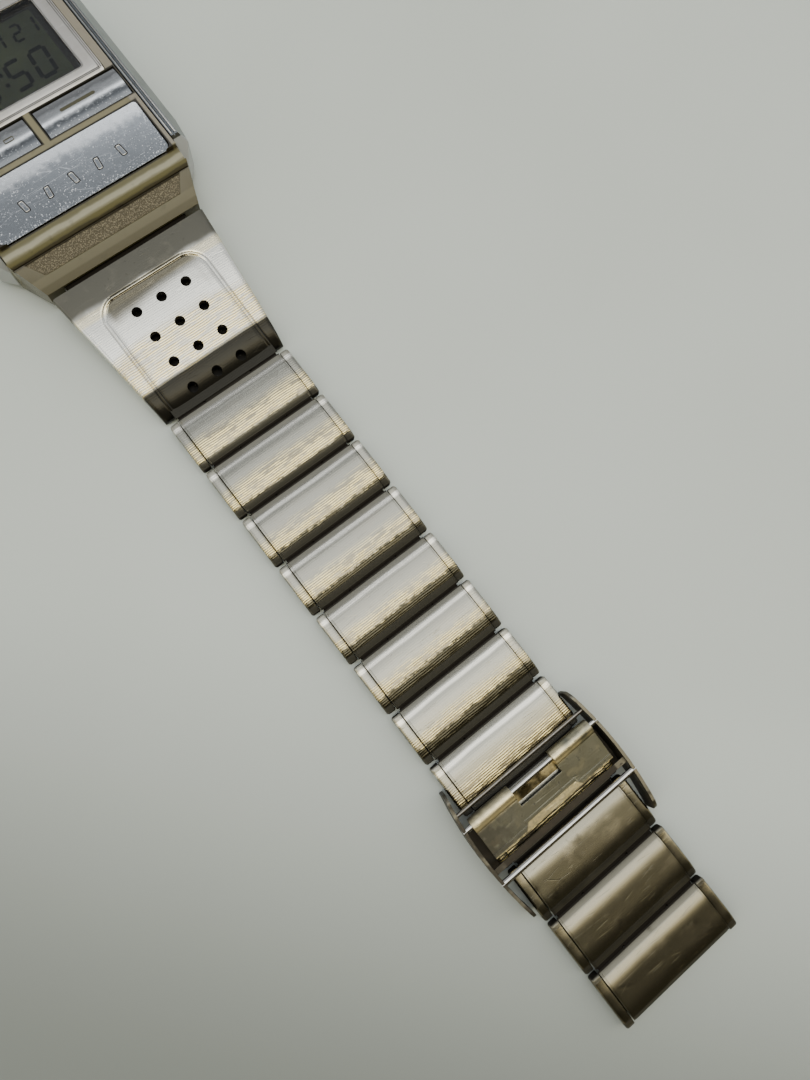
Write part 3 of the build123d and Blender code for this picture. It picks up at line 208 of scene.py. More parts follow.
class Paint(Graph):
    """A material's tree: one principled shader and what varies over the surface, in millimetres."""

    PLAIN: Triple = (1.0, 1.0, 1.0)
    ORIGIN: Triple = (0.0, 0.0, 0.0)
    SCRATCH_STRETCH: Triple = (0.16, 1.0, 0.3)
    SCRATCH_SWAY: Triple = (0.14, 0.14, 0.0)

    def __init__(self, name: str) -> None:
        """Starts an empty material of that name."""
        self.material = bpy.data.materials.new(name)
        self.material.use_nodes = True
        super().__init__(self.material.node_tree)
        self.tree.nodes.clear()
        self.shader = self.add("ShaderNodeBsdfPrincipled")
        self.add("ShaderNodeOutputMaterial", None, {"Surface": self.shader.outputs[0]})
        coordinates = self.add("ShaderNodeTexCoord")
        scaled = self.add("ShaderNodeVectorMath", {"operation": "SCALE"},
                          {0: coordinates.outputs["Object"], "Scale": 1.0 / MM})
        self.place = scaled.outputs[0]
        axes = self.add("ShaderNodeSeparateXYZ", None, {0: self.place})
        self.x, self.y, self.z = (Value(self, axes.outputs[n]) for n in range(3))

    def noise(self, scale: float, detail: float = 2.0, stretch: Triple = PLAIN,
              shift: Triple = ORIGIN) -> Value:
        """Adds a noise.

        Args:
            scale: waves per millimetre.
            detail: octaves.
            stretch: factors along the axes.
            shift: offset, so that two noises differ.
        Returns:
            The noise, around 0.5.
        """
        mapping = self.add("ShaderNodeMapping", None,
                           {"Vector": self.place, "Scale": stretch, "Location": shift})
        node = self.add("ShaderNodeTexNoise", None,
                        {"Vector": mapping.outputs[0], "Scale": scale, "Detail": detail})
        return Value(self, node.outputs["Fac"])

    def scratches(self, scale: float, angle: float, width: float, shift: float = 0.0) -> Value:
        """Fine straight scratches along one direction.

        Args:
            scale: cells per millimetre.
            angle: turn about Z in radians.
            width: share of a cell that a scratch takes.
            shift: offset, so that two sets differ.
        Returns:
            1 on a scratch, 0 elsewhere.
        """
        turned = self.add("ShaderNodeMapping", None,
                          {"Vector": self.place, "Rotation": (0.0, 0.0, angle),
                           "Scale": self.SCRATCH_STRETCH, "Location": (shift, shift * 0.7, 0.0)})
        bent = self.add("ShaderNodeTexNoise", None,
                        {"Vector": turned.outputs[0], "Scale": scale * 0.35, "Detail": 1.0})
        mixed = self.add("ShaderNodeVectorMath", {"operation": "MULTIPLY_ADD"},
                         {0: bent.outputs["Color"], 1: self.SCRATCH_SWAY, 2: turned.outputs[0]})
        cells = self.add("ShaderNodeTexVoronoi", {"feature": "DISTANCE_TO_EDGE"},
                         {"Vector": mixed.outputs[0], "Scale": scale})
        line = Value(self, cells.outputs["Distance"]).rise(width, 0.0)
        return line * self.noise(scale * 0.5, 1.0, shift=(shift, 3.0, 1.0)).rise(0.50, 0.64)

    def scuffs(self, *sets: tuple[float, ...]) -> Value:
        """The sum of several sets of scratches, each given as for scratches."""
        first, *others = (self.scratches(*one) for one in sets)
        for other in others:
            first = first + other
        return first

    def combed(self, spacing: float) -> Value:
        """Fine lines along X, uneven in depth.

        Args:
            spacing: from one line to the next, in millimetres.
        Returns:
            The lines' height, from 0 to 1.
        """
        bend = self.noise(0.25, 2.0, shift=(6.0, 2.0, 1.0)) * 7.0
        wave = (self.y * (math.tau / spacing) + bend).math("SINE") * 0.5 + 0.5
        depth = self.noise(1.0, 3.0, stretch=(0.5, 2.2, 1.0), shift=(1.0, 8.0, 4.0))
        return wave * (depth.rise(0.34, 0.66) * 0.75 + 0.25)

    def mix(self, factor: Any, first: Any, second: Any) -> Any:
        """Blends two colours by a factor and returns the colour's socket."""
        node = self.add("ShaderNodeMix", {"data_type": "RGBA"},
                        {"Factor": factor, 6: first, 7: second})
        return node.outputs[2]

    def bump(self, height: Value, depth: float) -> Any:
        """Turns a height into a normal.

        Args:
            height: the height, from 0 to 1.
            depth: what 1 stands for, in millimetres.
        Returns:
            The normal's socket.
        """
        node = self.add("ShaderNodeBump", None,
                        {"Height": height, "Distance": depth * MM, "Strength": 1.0})
        return node.outputs[0]

    def coat(self, **inputs: Any) -> bpy.types.Material:
        """Sets the shader's sockets, with _ for a space in a name, and returns the material."""
        for key, value in inputs.items():
            self.plug(self.shader.inputs[key.replace("_", " ")], value)
        return self.material


# ---------------------------------------------------------------- finishes

CREST: Station = (0.15, 0.7)
FURROW: Station = (0.45, 0.05)
STEEL_SPECULAR = 0.03


def dimmed(tone: Tone, share: float) -> Tone:
    """A tone times a share."""
    red, green, blue = tone
    return (red * share, green * share, blue * share)


@dataclass(frozen=True)
class Finish:
    """A finish: its name and how it is painted.

    A span says where an effect is 0 and where it is 1, in millimetres.
    """

    name: str

    def paint(self) -> bpy.types.Material:
        """Makes the material; each finish has its own way."""
        raise NotImplementedError


@dataclass(frozen=True)
class LinkSteel(Finish):
    """Worn satin steel of the links, fine grained on the case side and brushed on the far side.

    Spans along a link count from its own hinge; the spans that spread the painted shade on the far
    side along the bracelet, and stop it, are reaches.
    """

    silver: Tone = (0.29, 0.28, 0.235)
    # Tone of the painted warm highlight on the brushed crests of the far side.
    warm_highlight: Tone = (0.98, 0.81, 0.38)
    # Tone of the painted highlight along the near ridge.
    bright: Tone = (0.80, 0.76, 0.66)
    furrow: Tone = (0.25, 0.205, 0.12)
    patch: Tone = (0.30, 0.28, 0.23)
    # Near-black tone of the painted shade on the far side of the links.
    far_shade: Tone = (0.070, 0.065, 0.047)
    # Near-black tone for the painted shade in the gaps and for the stains.
    grime: Tone = (0.012, 0.010, 0.008)
    comb: float = 1.0
    # Stain sets the stains, and how wide and soft the painted ridge highlight spreads.
    stain: float = 0.0
    pitch: float = 8.35
    first: float = 48.0
    brush_start: Station = (3.3, 5.4)
    brush_end: Station = (7.05, 6.9)
    # Spans of the painted shade on the far side of the links.
    far_shade_start: Station = (6.9, 7.35)
    far_shade_reach: Station = (52.0, 102.0)
    free_reach: Station = (106.5, 106.3)
    # Spans of the painted shade on the far facet and of the lighter near edge.
    far_facet_shade: Station = (6.95, 7.15)
    near_edge_highlight: Station = (1.15, 0.95)
    # Spans of the painted shade in the gaps and on the lips beside them.
    far_gap: Station = (7.62, 7.67)
    near_gap: Station = (0.74, 0.69)
    far_lip: Station = (7.85, 8.02)
    near_lip: Station = (0.46, 0.30)

    def paint(self) -> bpy.types.Material:
        """Paints by the place within each link."""
        p = Paint(self.name)
        reach = abs(p.y)
        along = ((reach - self.first) / self.pitch).math("FRACT") * self.pitch
        wander = (p.noise(0.11, 2.0) - 0.5) * 3.0
        far = (along + wander * 0.45).rise(*self.brush_start) * along.rise(*self.brush_end)
        lines = p.combed(0.31)
        grain = p.noise(6.0, 3.0)
        patches = p.noise(0.32, 4.0, stretch=(0.7, 1.3, 1.0), shift=(4.0, 9.0, 2.0))
        scuffs = p.scuffs((0.55, 0.5, 0.02), (0.8, 2.1, 0.015, 5.0))
        crests = lines.rise(*CREST) * self.comb + (0.5 - self.comb * 0.5)
        # The brushed crests of the far side take a painted warm highlight.
        tone = p.mix(far * crests, self.silver, self.warm_highlight)
        tone = p.mix(far * lines.rise(*FURROW) * 0.85 * self.comb, tone, self.furrow)
        tone = p.mix(patches.rise(0.50, 0.72) * 0.45, tone, self.patch)
        # Painted highlight along the ridge near the hinge.
        ridge_highlight = (along + wander * (0.2 + self.stain * 0.45)).band(
            1.25, 1.5 + self.stain * 0.35, 0.4 + self.stain * 1.3)
        tone = p.mix(ridge_highlight * (0.55 + grain * 0.5), tone, self.bright)
        # Painted shade over the far side of the links, spreading as the reach grows and stopping
        # further out.
        fray = p.noise(2.0, 4.0, stretch=(0.55, 1.0, 1.0), shift=(5.0, 4.0, 2.0)) - 0.5
        turned = along + fray * 1.7 + reach.rise(*self.far_shade_reach) * 1.5
        far_shade = turned.rise(*self.far_shade_start) * reach.rise(*self.free_reach)
        tone = p.mix(far_shade * 0.98, tone, self.far_shade)
        # Painted shade on the far facet and a painted lighter near edge, both a little less
        # metallic.
        far_facet_shade, near_edge_highlight = along.rise(*self.far_facet_shade), along.rise(*self.near_edge_highlight)
        tone = p.mix(far_facet_shade * 0.8, tone, dimmed(self.silver, 0.36))
        tone = p.mix(near_edge_highlight * 0.6, tone, dimmed(self.silver, 1.05))
        # Painted shade: near black in the gaps between links, on the lips beside them and on the
        # underside; the blots are stains.
        between = along.rise(*self.far_gap) + along.rise(*self.near_gap)
        gap = between * abs(p.x).rise(8.68, 8.6) * p.z.rise(1.94, 1.90)
        lip = (along + wander * 0.06).rise(*self.far_lip).most(along.rise(*self.near_lip)) * 0.93
        dirt_and_shade = gap.most(lip).most(p.z.rise(1.9, 0.9) * 0.9)
        blots = p.noise(0.3, 4.0, shift=(7.0, 1.0, 3.0)).rise(0.60, 0.78) * self.stain
        tone = p.mix(dirt_and_shade.most(blots), tone, self.grime)
        rough = 0.20 + far * lines * 0.12 * self.comb + grain * 0.09 + dirt_and_shade * 0.45
        height = lines * (0.2 + far * 1.0) * self.comb + grain * 0.16 - scuffs * 0.3
        metal = (1.0 - dirt_and_shade * 0.95) * (1.0 - (far_facet_shade * 0.4).most(near_edge_highlight * 0.45))
        return p.coat(Base_Color=tone, Metallic=metal, Roughness=rough,
                      Specular_IOR_Level=STEEL_SPECULAR, Normal=p.bump(height, 0.016))


@dataclass(frozen=True)
class EndSteel(Finish):
    """Satin steel of the end pieces, smooth by the case and brushed round the last holes.

    Spans are reaches.
    """

    silver: Tone = (0.78, 0.755, 0.67)
    # Tone of the painted warm highlight on the brushed band round the last holes.
    warm_highlight: Tone = (0.98, 0.80, 0.38)
    furrow: Tone = (0.36, 0.30, 0.19)
    patch: Tone = (0.42, 0.39, 0.34)
    # Tone of the painted highlight on the rim.
    lit: Tone = (0.95, 0.84, 0.56)
    shadow: Tone = (0.13, 0.115, 0.08)
    # Tone of the painted dark reflection on the apron by the case.
    apron: Tone = (0.098, 0.092, 0.072)
    smear: Tone = (0.22, 0.20, 0.15)
    # Near-black tone of the painted shade on the rolled far end.
    fold: Tone = (0.020, 0.0185, 0.014)
    # Near-black tone for the painted shade at both ends and for crumbs of dirt on the apron.
    grime: Tone = (0.014, 0.012, 0.009)
    panel_half: float = 8.3
    corner_start: float = 6.0
    panel_start: Station = (29.2, 29.5)
    # Reaches over which the painted dark reflection on the apron fades in.
    apron_span: Station = (30.0, 28.6)
    shade_span: Station = (32.9, 30.7)
    # Reaches of the painted highlight on the rim.
    rim_highlight_band: Triple = (29.6, 30.5, 0.6)
    brush_band: Triple = (37.8, 42.6, 1.8)
    # Reaches over which the painted shade on the rolled end grows.
    bend_shade_span: Station = (42.5, 43.3)
    # Spans of the painted shade under the far end and in the slot by the case.
    far_end: Station = (47.22, 47.35)
    near_end: Station = (24.95, 24.6)

    def paint(self) -> bpy.types.Material:
        """Paints by the reach: a dark apron by the case that is a painted reflection, a lit rim
        that is a painted highlight, and painted shade inside the panel and on the rolled end.
        """
        p = Paint(self.name)
        reach, across = abs(p.y), abs(p.x)
        wander = (p.noise(0.10, 2.0) - 0.5) * 4.0
        brushed = (reach + wander).band(*self.brush_band)
        lines = p.combed(0.33)
        grain = p.noise(6.0, 3.0)
        patches = p.noise(0.25, 4.0, shift=(3.0, 5.0, 1.0))
        depth = self.panel_half - across
        corner = (across - self.corner_start).most(0.0)
        inner = depth.rise(0.0, 0.2) * (reach - corner).rise(*self.panel_start)
        shade = (reach + p.x * 0.10 + wander * 0.25).rise(*self.shade_span)
        shade = shade * inner * depth.rise(0.1, 1.5)
        # The brushed band takes a painted warm highlight on its crests.
        tone = p.mix(brushed * lines.rise(*CREST), self.silver, self.warm_highlight)
        tone = p.mix(brushed * lines.rise(*FURROW) * 0.6, tone, self.furrow)
        tone = p.mix(patches.rise(0.52, 0.78) * 0.4, tone, self.patch)
        # Painted highlight on the rim just inside the bead.
        tone = p.mix((reach + wander * 0.2).band(*self.rim_highlight_band) * 0.75, tone, self.lit)
        tone = p.mix(shade * 0.9, tone, self.shadow)
        # The apron by the case is painted dark as a reflection, with lighter smears on it.
        edge = (p.noise(0.18, 3.0, shift=(2.0, 2.0, 6.0)) - 0.5) * 2.2
        apron = (reach + edge).rise(*self.apron_span) * (1.0 - inner)
        tone = p.mix(apron * 0.97, tone, self.apron)
        smears = p.noise(0.5, 4.0, shift=(9.0, 3.0, 1.0)).rise(0.52, 0.75)
        tone = p.mix(apron * smears * 0.3, tone, self.smear)
        # Painted shade: the rolled far end turns nearly black and a little less metallic.
        bend = (reach + wander * 0.12).rise(*self.bend_shade_span)
        tone = p.mix(bend * 0.985, tone, self.fold)
        # Painted shade: near black under the far end and in the slot by the case, plus crumbs of
        # dirt on the apron.
        low = (reach.rise(*self.far_end) * p.z.rise(1.92, 1.88)).most(reach.rise(*self.near_end))
        crumbs = p.noise(1.4, 3.0).rise(0.62, 0.8) * 0.3
        dirt_and_shade = (low + crumbs * apron).least(1.0)
        tone = p.mix(dirt_and_shade, tone, self.grime)
        scuffs = p.scuffs((0.5, 0.9, 0.02), (0.7, 2.4, 0.015, 3.0))
        rough = 0.20 + brushed * lines * 0.12 + grain * 0.09 + apron * 0.10 + dirt_and_shade * 0.4
        height = lines * (0.15 + brushed * 1.0) + grain * 0.16 - scuffs * 0.3
        metal = (1.0 - dirt_and_shade * 0.95) * (1.0 - bend * 0.3)
        return p.coat(Base_Color=tone, Metallic=metal, Roughness=rough,
                      Specular_IOR_Level=STEEL_SPECULAR, Normal=p.bump(height, 0.020))


@dataclass(frozen=True)
class WornChrome(Finish):
    """Bright plated steel with wiped scratches and specks of wear along its edges.

    edge_box is half the width, the lower and upper Y and the width of the worn edge; glint is
    where a painted highlight strip starts and ends in Y and how soft it is; pale_from is the reach
    from which the ends are painted pale and less metallic, so that they read light.
    """

    tone: Tone = (0.41, 0.44, 0.46)
    haze: float = 0.11
    scratched: float = 1.0
    edge_box: tuple[float, float, float, float] | None = None
    # Where the painted highlight strip lies in Y, and how soft it is.
    glint: Triple | None = None
    # Reach from which the ends are painted pale so that they read light.
    pale_from: float = 0.0
    # Tone of the painted lighter reflection above the lit strip.
    upper: Tone = (0.40, 0.395, 0.385)
    lit: Tone = (0.95, 0.95, 0.93)
    scratch: Tone = (0.97, 0.97, 0.96)
    wear: Tone = (0.98, 0.97, 0.94)
    # Tone of the ends painted pale so that they read light.
    lit_end_tone: Tone = (0.40, 0.415, 0.42)

    def paint(self) -> bpy.types.Material:
        """Paints scratches, edge sparkle, a painted highlight strip and ends painted light."""
        p = Paint(self.name)
        fine = p.scuffs((1.7, 0.4, 0.03), (1.3, 1.9, 0.03, 4.0), (1.5, 2.9, 0.03, 9.0))
        long = p.scuffs((0.7, 2.6, 0.014, 8.0), (0.55, 1.1, 0.012, 13.0))
        marks = (fine * 0.09 + long * 0.4).math("MULTIPLY", self.scratched, clamp=True)
        cloud = p.noise(0.35, 4.0, shift=(2.0, 8.0, 0.0))
        dots = p.noise(4.2, 3.0, shift=(6.0, 6.0, 2.0)).rise(0.63, 0.70) * self.scratched
        worn = dots * 0.7
        if self.edge_box is not None:
            half, low, high, width = self.edge_box
            inner = (half - abs(p.x)).least(p.y - low).least(high - p.y)
            edge = (inner + (p.noise(1.3, 3.0) - 0.5) * 1.6).rise(width, 0.0)
            speck = p.noise(5.0, 2.0, shift=(1.0, 2.0, 3.0)).rise(0.6, 0.7)
            worn = (speck * edge).most(worn)
        fleck = p.noise(3.0, 4.0, shift=(8.0, 1.0, 6.0)).rise(0.55, 0.75) * 0.35
        tone = p.mix(cloud.rise(0.4, 0.75) * 0.5, self.tone, dimmed(self.tone, 0.66))
        tone = p.mix(fleck, tone, dimmed(self.tone, 0.55))
        # Painted highlight: a lit strip across the face, with a painted lighter reflection above
        # it.
        if self.glint is not None:
            start, stop, edge_width = self.glint
            frayed = p.noise(0.9, 4.0, shift=(2.0, 4.0, 4.0)) - 0.5
            frayed = p.y + frayed * (edge_width * 1.6)
            tone = p.mix(frayed.rise(stop, stop + 0.5), tone, self.upper)
            tone = p.mix(frayed.band(start, stop, edge_width) * 0.7, tone, self.lit)
        tone = p.mix(marks, tone, self.scratch)
        tone = p.mix(worn, tone, self.wear)
        rough = self.haze + cloud * 0.08 + marks * 0.25 + worn * 0.20
        metal: Any = 1.0
        # Painted light: past the reach given, the ends are pale and much less metallic, so that
        # they read light.
        if self.pale_from > 0.0:
            lit_end = abs(p.y).rise(self.pale_from, self.pale_from + 0.1)
            tone = p.mix(lit_end, tone, self.lit_end_tone)
            rough, metal = rough + lit_end * 0.2, 1.0 - lit_end * 0.7
        height = p.noise(0.35, 1.0) * 0.5 + marks * -0.15 + worn * 0.8
        return p.coat(Base_Color=tone, Metallic=metal, Roughness=rough,
                      Normal=p.bump(height, 0.006))


@dataclass(frozen=True)
class BrownedSteel(Finish):
    """Dull steel of the clasp: brown patches, grime spots and gold-coloured wear, darker low down
    and towards -X, with painted shade on the cross bar and a painted highlight on the roll's crest.

    The low height is where the steel starts to darken; the bands are reaches, (0, 0) for none.
    """

    silver: Tone = (0.55, 0.52, 0.47)
    gold: Tone = (0.58, 0.47, 0.28)
    brown: Tone = (0.30, 0.27, 0.22)
    # Near-black tone for the darker low parts, the grime spots and the painted shade on the cross
    # bar.
    grime: Tone = (0.022, 0.016, 0.010)
    # Height below which the steel is darker.
    darker_below: float = 2.4
    gold_band: Station = (0.0, 0.0)
    # Reaches of the painted shade on the cross bar.
    crossbar_shade_band: Station = (0.0, 0.0)
    # Reaches of the painted highlight on the hinge roll's crest.
    crest_highlight_band: Triple = (115.0, 116.0, 0.8)

    def wear(self, p: Paint) -> Any:
        """Where the gold colour lies: wear on the plate's line and its middle, and a painted
        highlight along the hinge roll's crest.

        Args:
            p: the material's tree.
        Returns:
            The wear and the painted crest highlight from 0 to 1, or a plain 0 without a band.
        """
        low, high = self.gold_band
        if high <= low:
            return 0.0
        reach = abs(p.y)
        middle = (abs(p.x) - (reach - low) * 0.9).rise(4.6, 4.4)
        speckle = p.noise(2.6, 4.0, shift=(1.0, 6.0, 5.0)).rise(0.42, 0.58)
        line = reach.band(high - 0.4, high, 0.08) * (0.25 + speckle * 0.75)
        plate = reach.band(low - 0.45, high, 0.08) * middle * (0.75 + speckle * 0.25)
        # Painted highlight along the crest of the hinge roll.
        roll = p.noise(0.3, 3.0, shift=(4.0, 4.0, 1.0)).rise(0.3, 0.6)
        return line.most(plate).most(reach.band(*self.crest_highlight_band) * roll * 0.8)

    def paint(self) -> bpy.types.Material:
        """Paints the steel darker low down and towards -X, with grime spots, painted shade on the
        cross bar, gold wear in patches and a painted highlight on the roll's crest.
        """
        p = Paint(self.name)
        cloud = p.noise(0.38, 4.0, shift=(5.0, 1.0, 7.0))
        grain = p.noise(5.0, 3.0)
        lines = p.noise(1.0, 3.0, stretch=(0.2, 4.0, 1.0))
        gold = p.noise(0.5, 3.0, shift=(9.0, 4.0, 2.0)).rise(0.55, 0.7)
        worn = self.wear(p)
        tone = p.mix((gold * 0.12).most(worn), self.silver, self.gold)
        tone = p.mix(cloud.rise(0.55, 0.8) * 0.4, tone, self.brown)
        # Darker below a height and towards -X; the spots are grime.
        low = (p.z + (cloud - 0.5) * 3.0).rise(self.darker_below, self.darker_below - 1.6)
        spots = p.noise(1.1, 4.0, shift=(3.0, 6.0, 2.0)).rise(0.6, 0.72)
        left = p.noise(0.7, 3.0, shift=(1.0, 1.0, 4.0)).rise(0.3, 0.55)
        left = (p.x + cloud * 9.0).rise(4.0, -6.0) * left
        dirt_and_shade = (low * 0.8).most(spots * 0.7).most(left * 0.7) * (1.0 - worn * 0.75)
        # Painted shade on the cross bar, read as a dark slot.
        if self.crossbar_shade_band[1] > 0.0:
            dark = abs(p.y).band(*self.crossbar_shade_band, 0.1) * abs(p.x).rise(9.9, 9.6)
            dirt_and_shade = dirt_and_shade.most(dark * 0.85)
        tone = p.mix(dirt_and_shade, tone, self.grime)
        scuffs = p.scuffs((0.6, 0.3, 0.02), (0.5, 1.7, 0.02, 6.0))
        rough = 0.22 + grain * 0.12 + cloud * 0.14 + dirt_and_shade * 0.25
        height = grain * 0.3 + lines * 0.4 - scuffs * 0.4
        return p.coat(Base_Color=tone, Metallic=1.0 - dirt_and_shade * 0.3, Roughness=rough,
                      Normal=p.bump(height, 0.020))


@dataclass(frozen=True)
class AgedResin(Finish):
    """Yellowed glossy resin of the case: stippled hood panels, dirt along the steps, painted
    highlights along the ridge's crest and the brim, painted shade round the keys and low down.

    Bands are reaches with the width of their edges; pocket and plate are the keys' openings as
    the middle in X, the middle in Y and half the sizes.
    """

    cream: Tone = (0.135, 0.122, 0.058)
    cloudy: Tone = (0.13, 0.118, 0.062)
    pale: Tone = (0.26, 0.235, 0.15)
    # Tone of the painted highlights along the ridge's crest and the brim.
    resin_highlight: Tone = (0.34, 0.32, 0.215)
    shade: Tone = (0.050, 0.042, 0.018)
    panel: Tone = (0.065, 0.055, 0.034)
    sparkle: Tone = (0.19, 0.165, 0.11)
    step: Tone = (0.27, 0.245, 0.20)
    # Near-black tone of the painted shade in the gaps round the keys.
    outline: Tone = (0.014, 0.012, 0.008)
    dark: Tone = (0.030, 0.024, 0.012)
    panel_band: Triple = (19.95, 22.1, 0.12)
    # Reaches of the painted highlights along the ridge's crest and the brim.
    crest_highlight_band: Triple = (18.25, 18.55, 0.35)
    brim_highlight_band: Triple = (22.35, 23.1, 0.3)
    seam_band: Triple = (19.55, 20.0, 0.2)
    groove_band: Triple = (17.1, 17.35, 0.1)
    pocket: tuple[float, float, float, float] = (7.35, -4.775, 6.55, 2.375)
    plate: tuple[float, float, float, float] = (0.0, -12.8, 13.4, 4.2)

    def paint(self) -> bpy.types.Material:
        """Paints the panel between reach 20 and 22.4 as a stippled, sparkling grey-gold."""
        p = Paint(self.name)
        reach, across = abs(p.y), abs(p.x)
        cloud = p.noise(0.22, 4.0)
        narrow = (12.55 - (reach - 20.0) * 0.71 - across).rise(0.0, 0.2)
        panel = reach.band(*self.panel_band) * narrow * p.z.rise(5.0, 5.2)
        speck = p.noise(6.4, 3.0)
        stipple = p.noise(7.0, 3.0, shift=(1.0, 5.0, 2.0))
        tone = p.mix(cloud.rise(0.4, 0.7) * 0.5, self.cream, self.cloudy)
        tone = p.mix(reach.rise(17.2, 17.0) * 0.7, tone, self.pale)
        # Painted highlights along the ridge's crest and, faintly, along the brim.
        crest = (reach + (p.noise(0.4, 3.0) - 0.5) * 0.5).band(*self.crest_highlight_band)
        tone = p.mix(crest * p.z.rise(6.4, 6.6) * 0.75, tone, self.resin_highlight)
        tone = p.mix(reach.rise(19.9, 20.1) * 0.75, tone, self.shade)
        tone = p.mix(reach.band(*self.brim_highlight_band) * p.z.rise(4.6, 4.9) * 0.15, tone, self.resin_highlight)
        tone = p.mix(panel * 0.95, tone, self.panel)
        tone = p.mix(panel * speck.rise(0.48, 0.62), tone, self.sparkle)
        step = (across - 12.9).rise(0.0, 0.2) * reach.rise(17.0, 16.8) * p.z.rise(7.2, 7.4)
        tone = p.mix(step * 0.9, tone, self.step)
        # Painted shade: a near-black line round the openings of the keys.
        openings = [(abs(across - x) - half_x).most(abs(p.y - y) - half_y)
                    for x, y, half_x, half_y in (self.pocket, self.plate)]
        outline = openings[0].least(openings[1]).rise(0.46, 0.24)
        tone = p.mix(outline * p.z.rise(7.0, 7.4) * 0.95, tone, self.outline)
        seam = (reach + (cloud - 0.5) * 0.5).band(*self.seam_band)
        seam = seam + reach.band(*self.groove_band) * 0.6
        dirt_and_shade = seam * p.z.rise(5.6, 5.9) * 0.85
        dirt_and_shade = dirt_and_shade + p.noise(0.6, 4.0, shift=(3.0, 3.0, 8.0)).rise(0.58, 0.8) * 0.35
        # Painted shade low down on the case; the seam, groove and spots are dirt.
        under = p.z.rise(2.2, 1.0) * 0.4
        tone = p.mix(dirt_and_shade.math("ADD", under, clamp=True), tone, self.dark)
        rough = 0.17 + cloud * 0.10 + panel * 0.25 + dirt_and_shade * 0.2
        height = stipple * panel + p.noise(1.2, 3.0) * 0.12
        return p.coat(Base_Color=tone, Metallic=panel * 0.45, Roughness=rough,
                      Specular_IOR_Level=0.4, Normal=p.bump(height, 0.035))


@dataclass(frozen=True)
class FrameSteel(Finish):
    """Light warm satin metal of the display frame."""

    warm: Tone = (0.62, 0.585, 0.535)
    stain: Tone = (0.44, 0.40, 0.35)
    nick: Tone = (0.86, 0.83, 0.78)

    def paint(self) -> bpy.types.Material:
        """Paints fine grain, soft stains and small nicks."""
        p = Paint(self.name)
        cloud = p.noise(0.4, 4.0)
        grain = p.noise(7.0, 3.0)
        marks = p.scuffs((0.6, 0.7, 0.018), (0.45, 2.2, 0.015, 7.0))
        tone = p.mix(cloud.rise(0.45, 0.75) * 0.45, self.warm, self.stain)
        tone = p.mix(marks * 0.6, tone, self.nick)
        rough = 0.30 + grain * 0.12 + cloud * 0.08
        return p.coat(Base_Color=tone, Metallic=0.92, Roughness=rough,
                      Normal=p.bump(grain * 0.5 - marks * 0.4 + cloud * 0.3, 0.012))


@dataclass(frozen=True)
class DisplayFace(Finish):
    """Olive liquid crystal panel with a black border."""

    olive: Tone = (0.024, 0.029, 0.013)
    row: Tone = (0.07, 0.075, 0.04)
    border: Tone = (0.006, 0.006, 0.005)
    half_width: float = 9.75
    low: float = 0.75
    high: float = 12.5
    soft: Station = (0.0, 0.12)

    def paint(self) -> bpy.types.Material:
        """Paints the olive field with faint rows, and black outside it."""
        p = Paint(self.name)
        cloud = p.noise(0.18, 3.0)
        field = (self.half_width - abs(p.x)).rise(*self.soft)
        field = field * (p.y - self.low).rise(*self.soft) * (self.high - p.y).rise(*self.soft)
        rows = p.noise(4.0, 1.0, stretch=(0.05, 1.0, 1.0))
        tone = p.mix(cloud.rise(0.35, 0.7), self.olive, dimmed(self.olive, 1.7))
        tone = p.mix(rows.rise(0.5, 0.7) * 0.10, tone, self.row)
        tone = p.mix(field, self.border, tone)
        return p.coat(Base_Color=tone, Roughness=0.35 + cloud * 0.15, Specular_IOR_Level=0.2,
                      Normal=p.bump(p.noise(2.0, 2.0), 0.01))


@dataclass(frozen=True)
class ClearLens(Finish):
    """Clear crystal with fine scratches."""

    clear: Tone = (0.97, 0.98, 0.97)
    scratch: Tone = (0.75, 0.77, 0.75)

    def paint(self) -> bpy.types.Material:
        """Paints a clear body whose scratches are dull."""
        p = Paint(self.name)
        marks = p.scuffs((0.22, 0.9, 0.008), (0.3, 2.5, 0.01, 6.0))
        haze = p.noise(0.3, 3.0).rise(0.4, 0.8)
        return p.coat(Base_Color=p.mix(marks * 0.5, self.clear, self.scratch),
                      Roughness=marks * 0.2 + haze * 0.02, Transmission_Weight=1.0, IOR=1.46,
                      Normal=p.bump(p.noise(0.4, 2.0) + marks * -0.2, 0.001))


@dataclass(frozen=True)
class PlainTone(Finish):
    """Moulded plastic, rubber, lacquer or ceramic: one tone with mottling, grain and dust."""

    tone: Tone
    shade: Tone
    rough: float = 0.45
    metal: float = 0.0
    grain: float = 3.0
    depth: float = 0.02
    specular: float = 0.5
    dust: Tone = (0.5, 0.5, 0.48)

    def paint(self) -> bpy.types.Material:
        """Paints two close tones, with a grain in roughness and bump."""
        p = Paint(self.name)
        cloud = p.noise(0.35, 4.0)
        grain = p.noise(self.grain, 3.0)
        dust = p.noise(2.4, 2.0, shift=(5.0, 5.0, 5.0)).rise(0.66, 0.75)
        tone = p.mix(cloud.rise(0.35, 0.7), self.tone, self.shade)
        tone = p.mix(dust * 0.12, tone, self.dust)
        return p.coat(Base_Color=tone, Metallic=self.metal, Specular_IOR_Level=self.specular,
                      Roughness=self.rough + (grain - 0.5) * 0.2 + dust * 0.1,
                      Normal=p.bump(grain, self.depth))


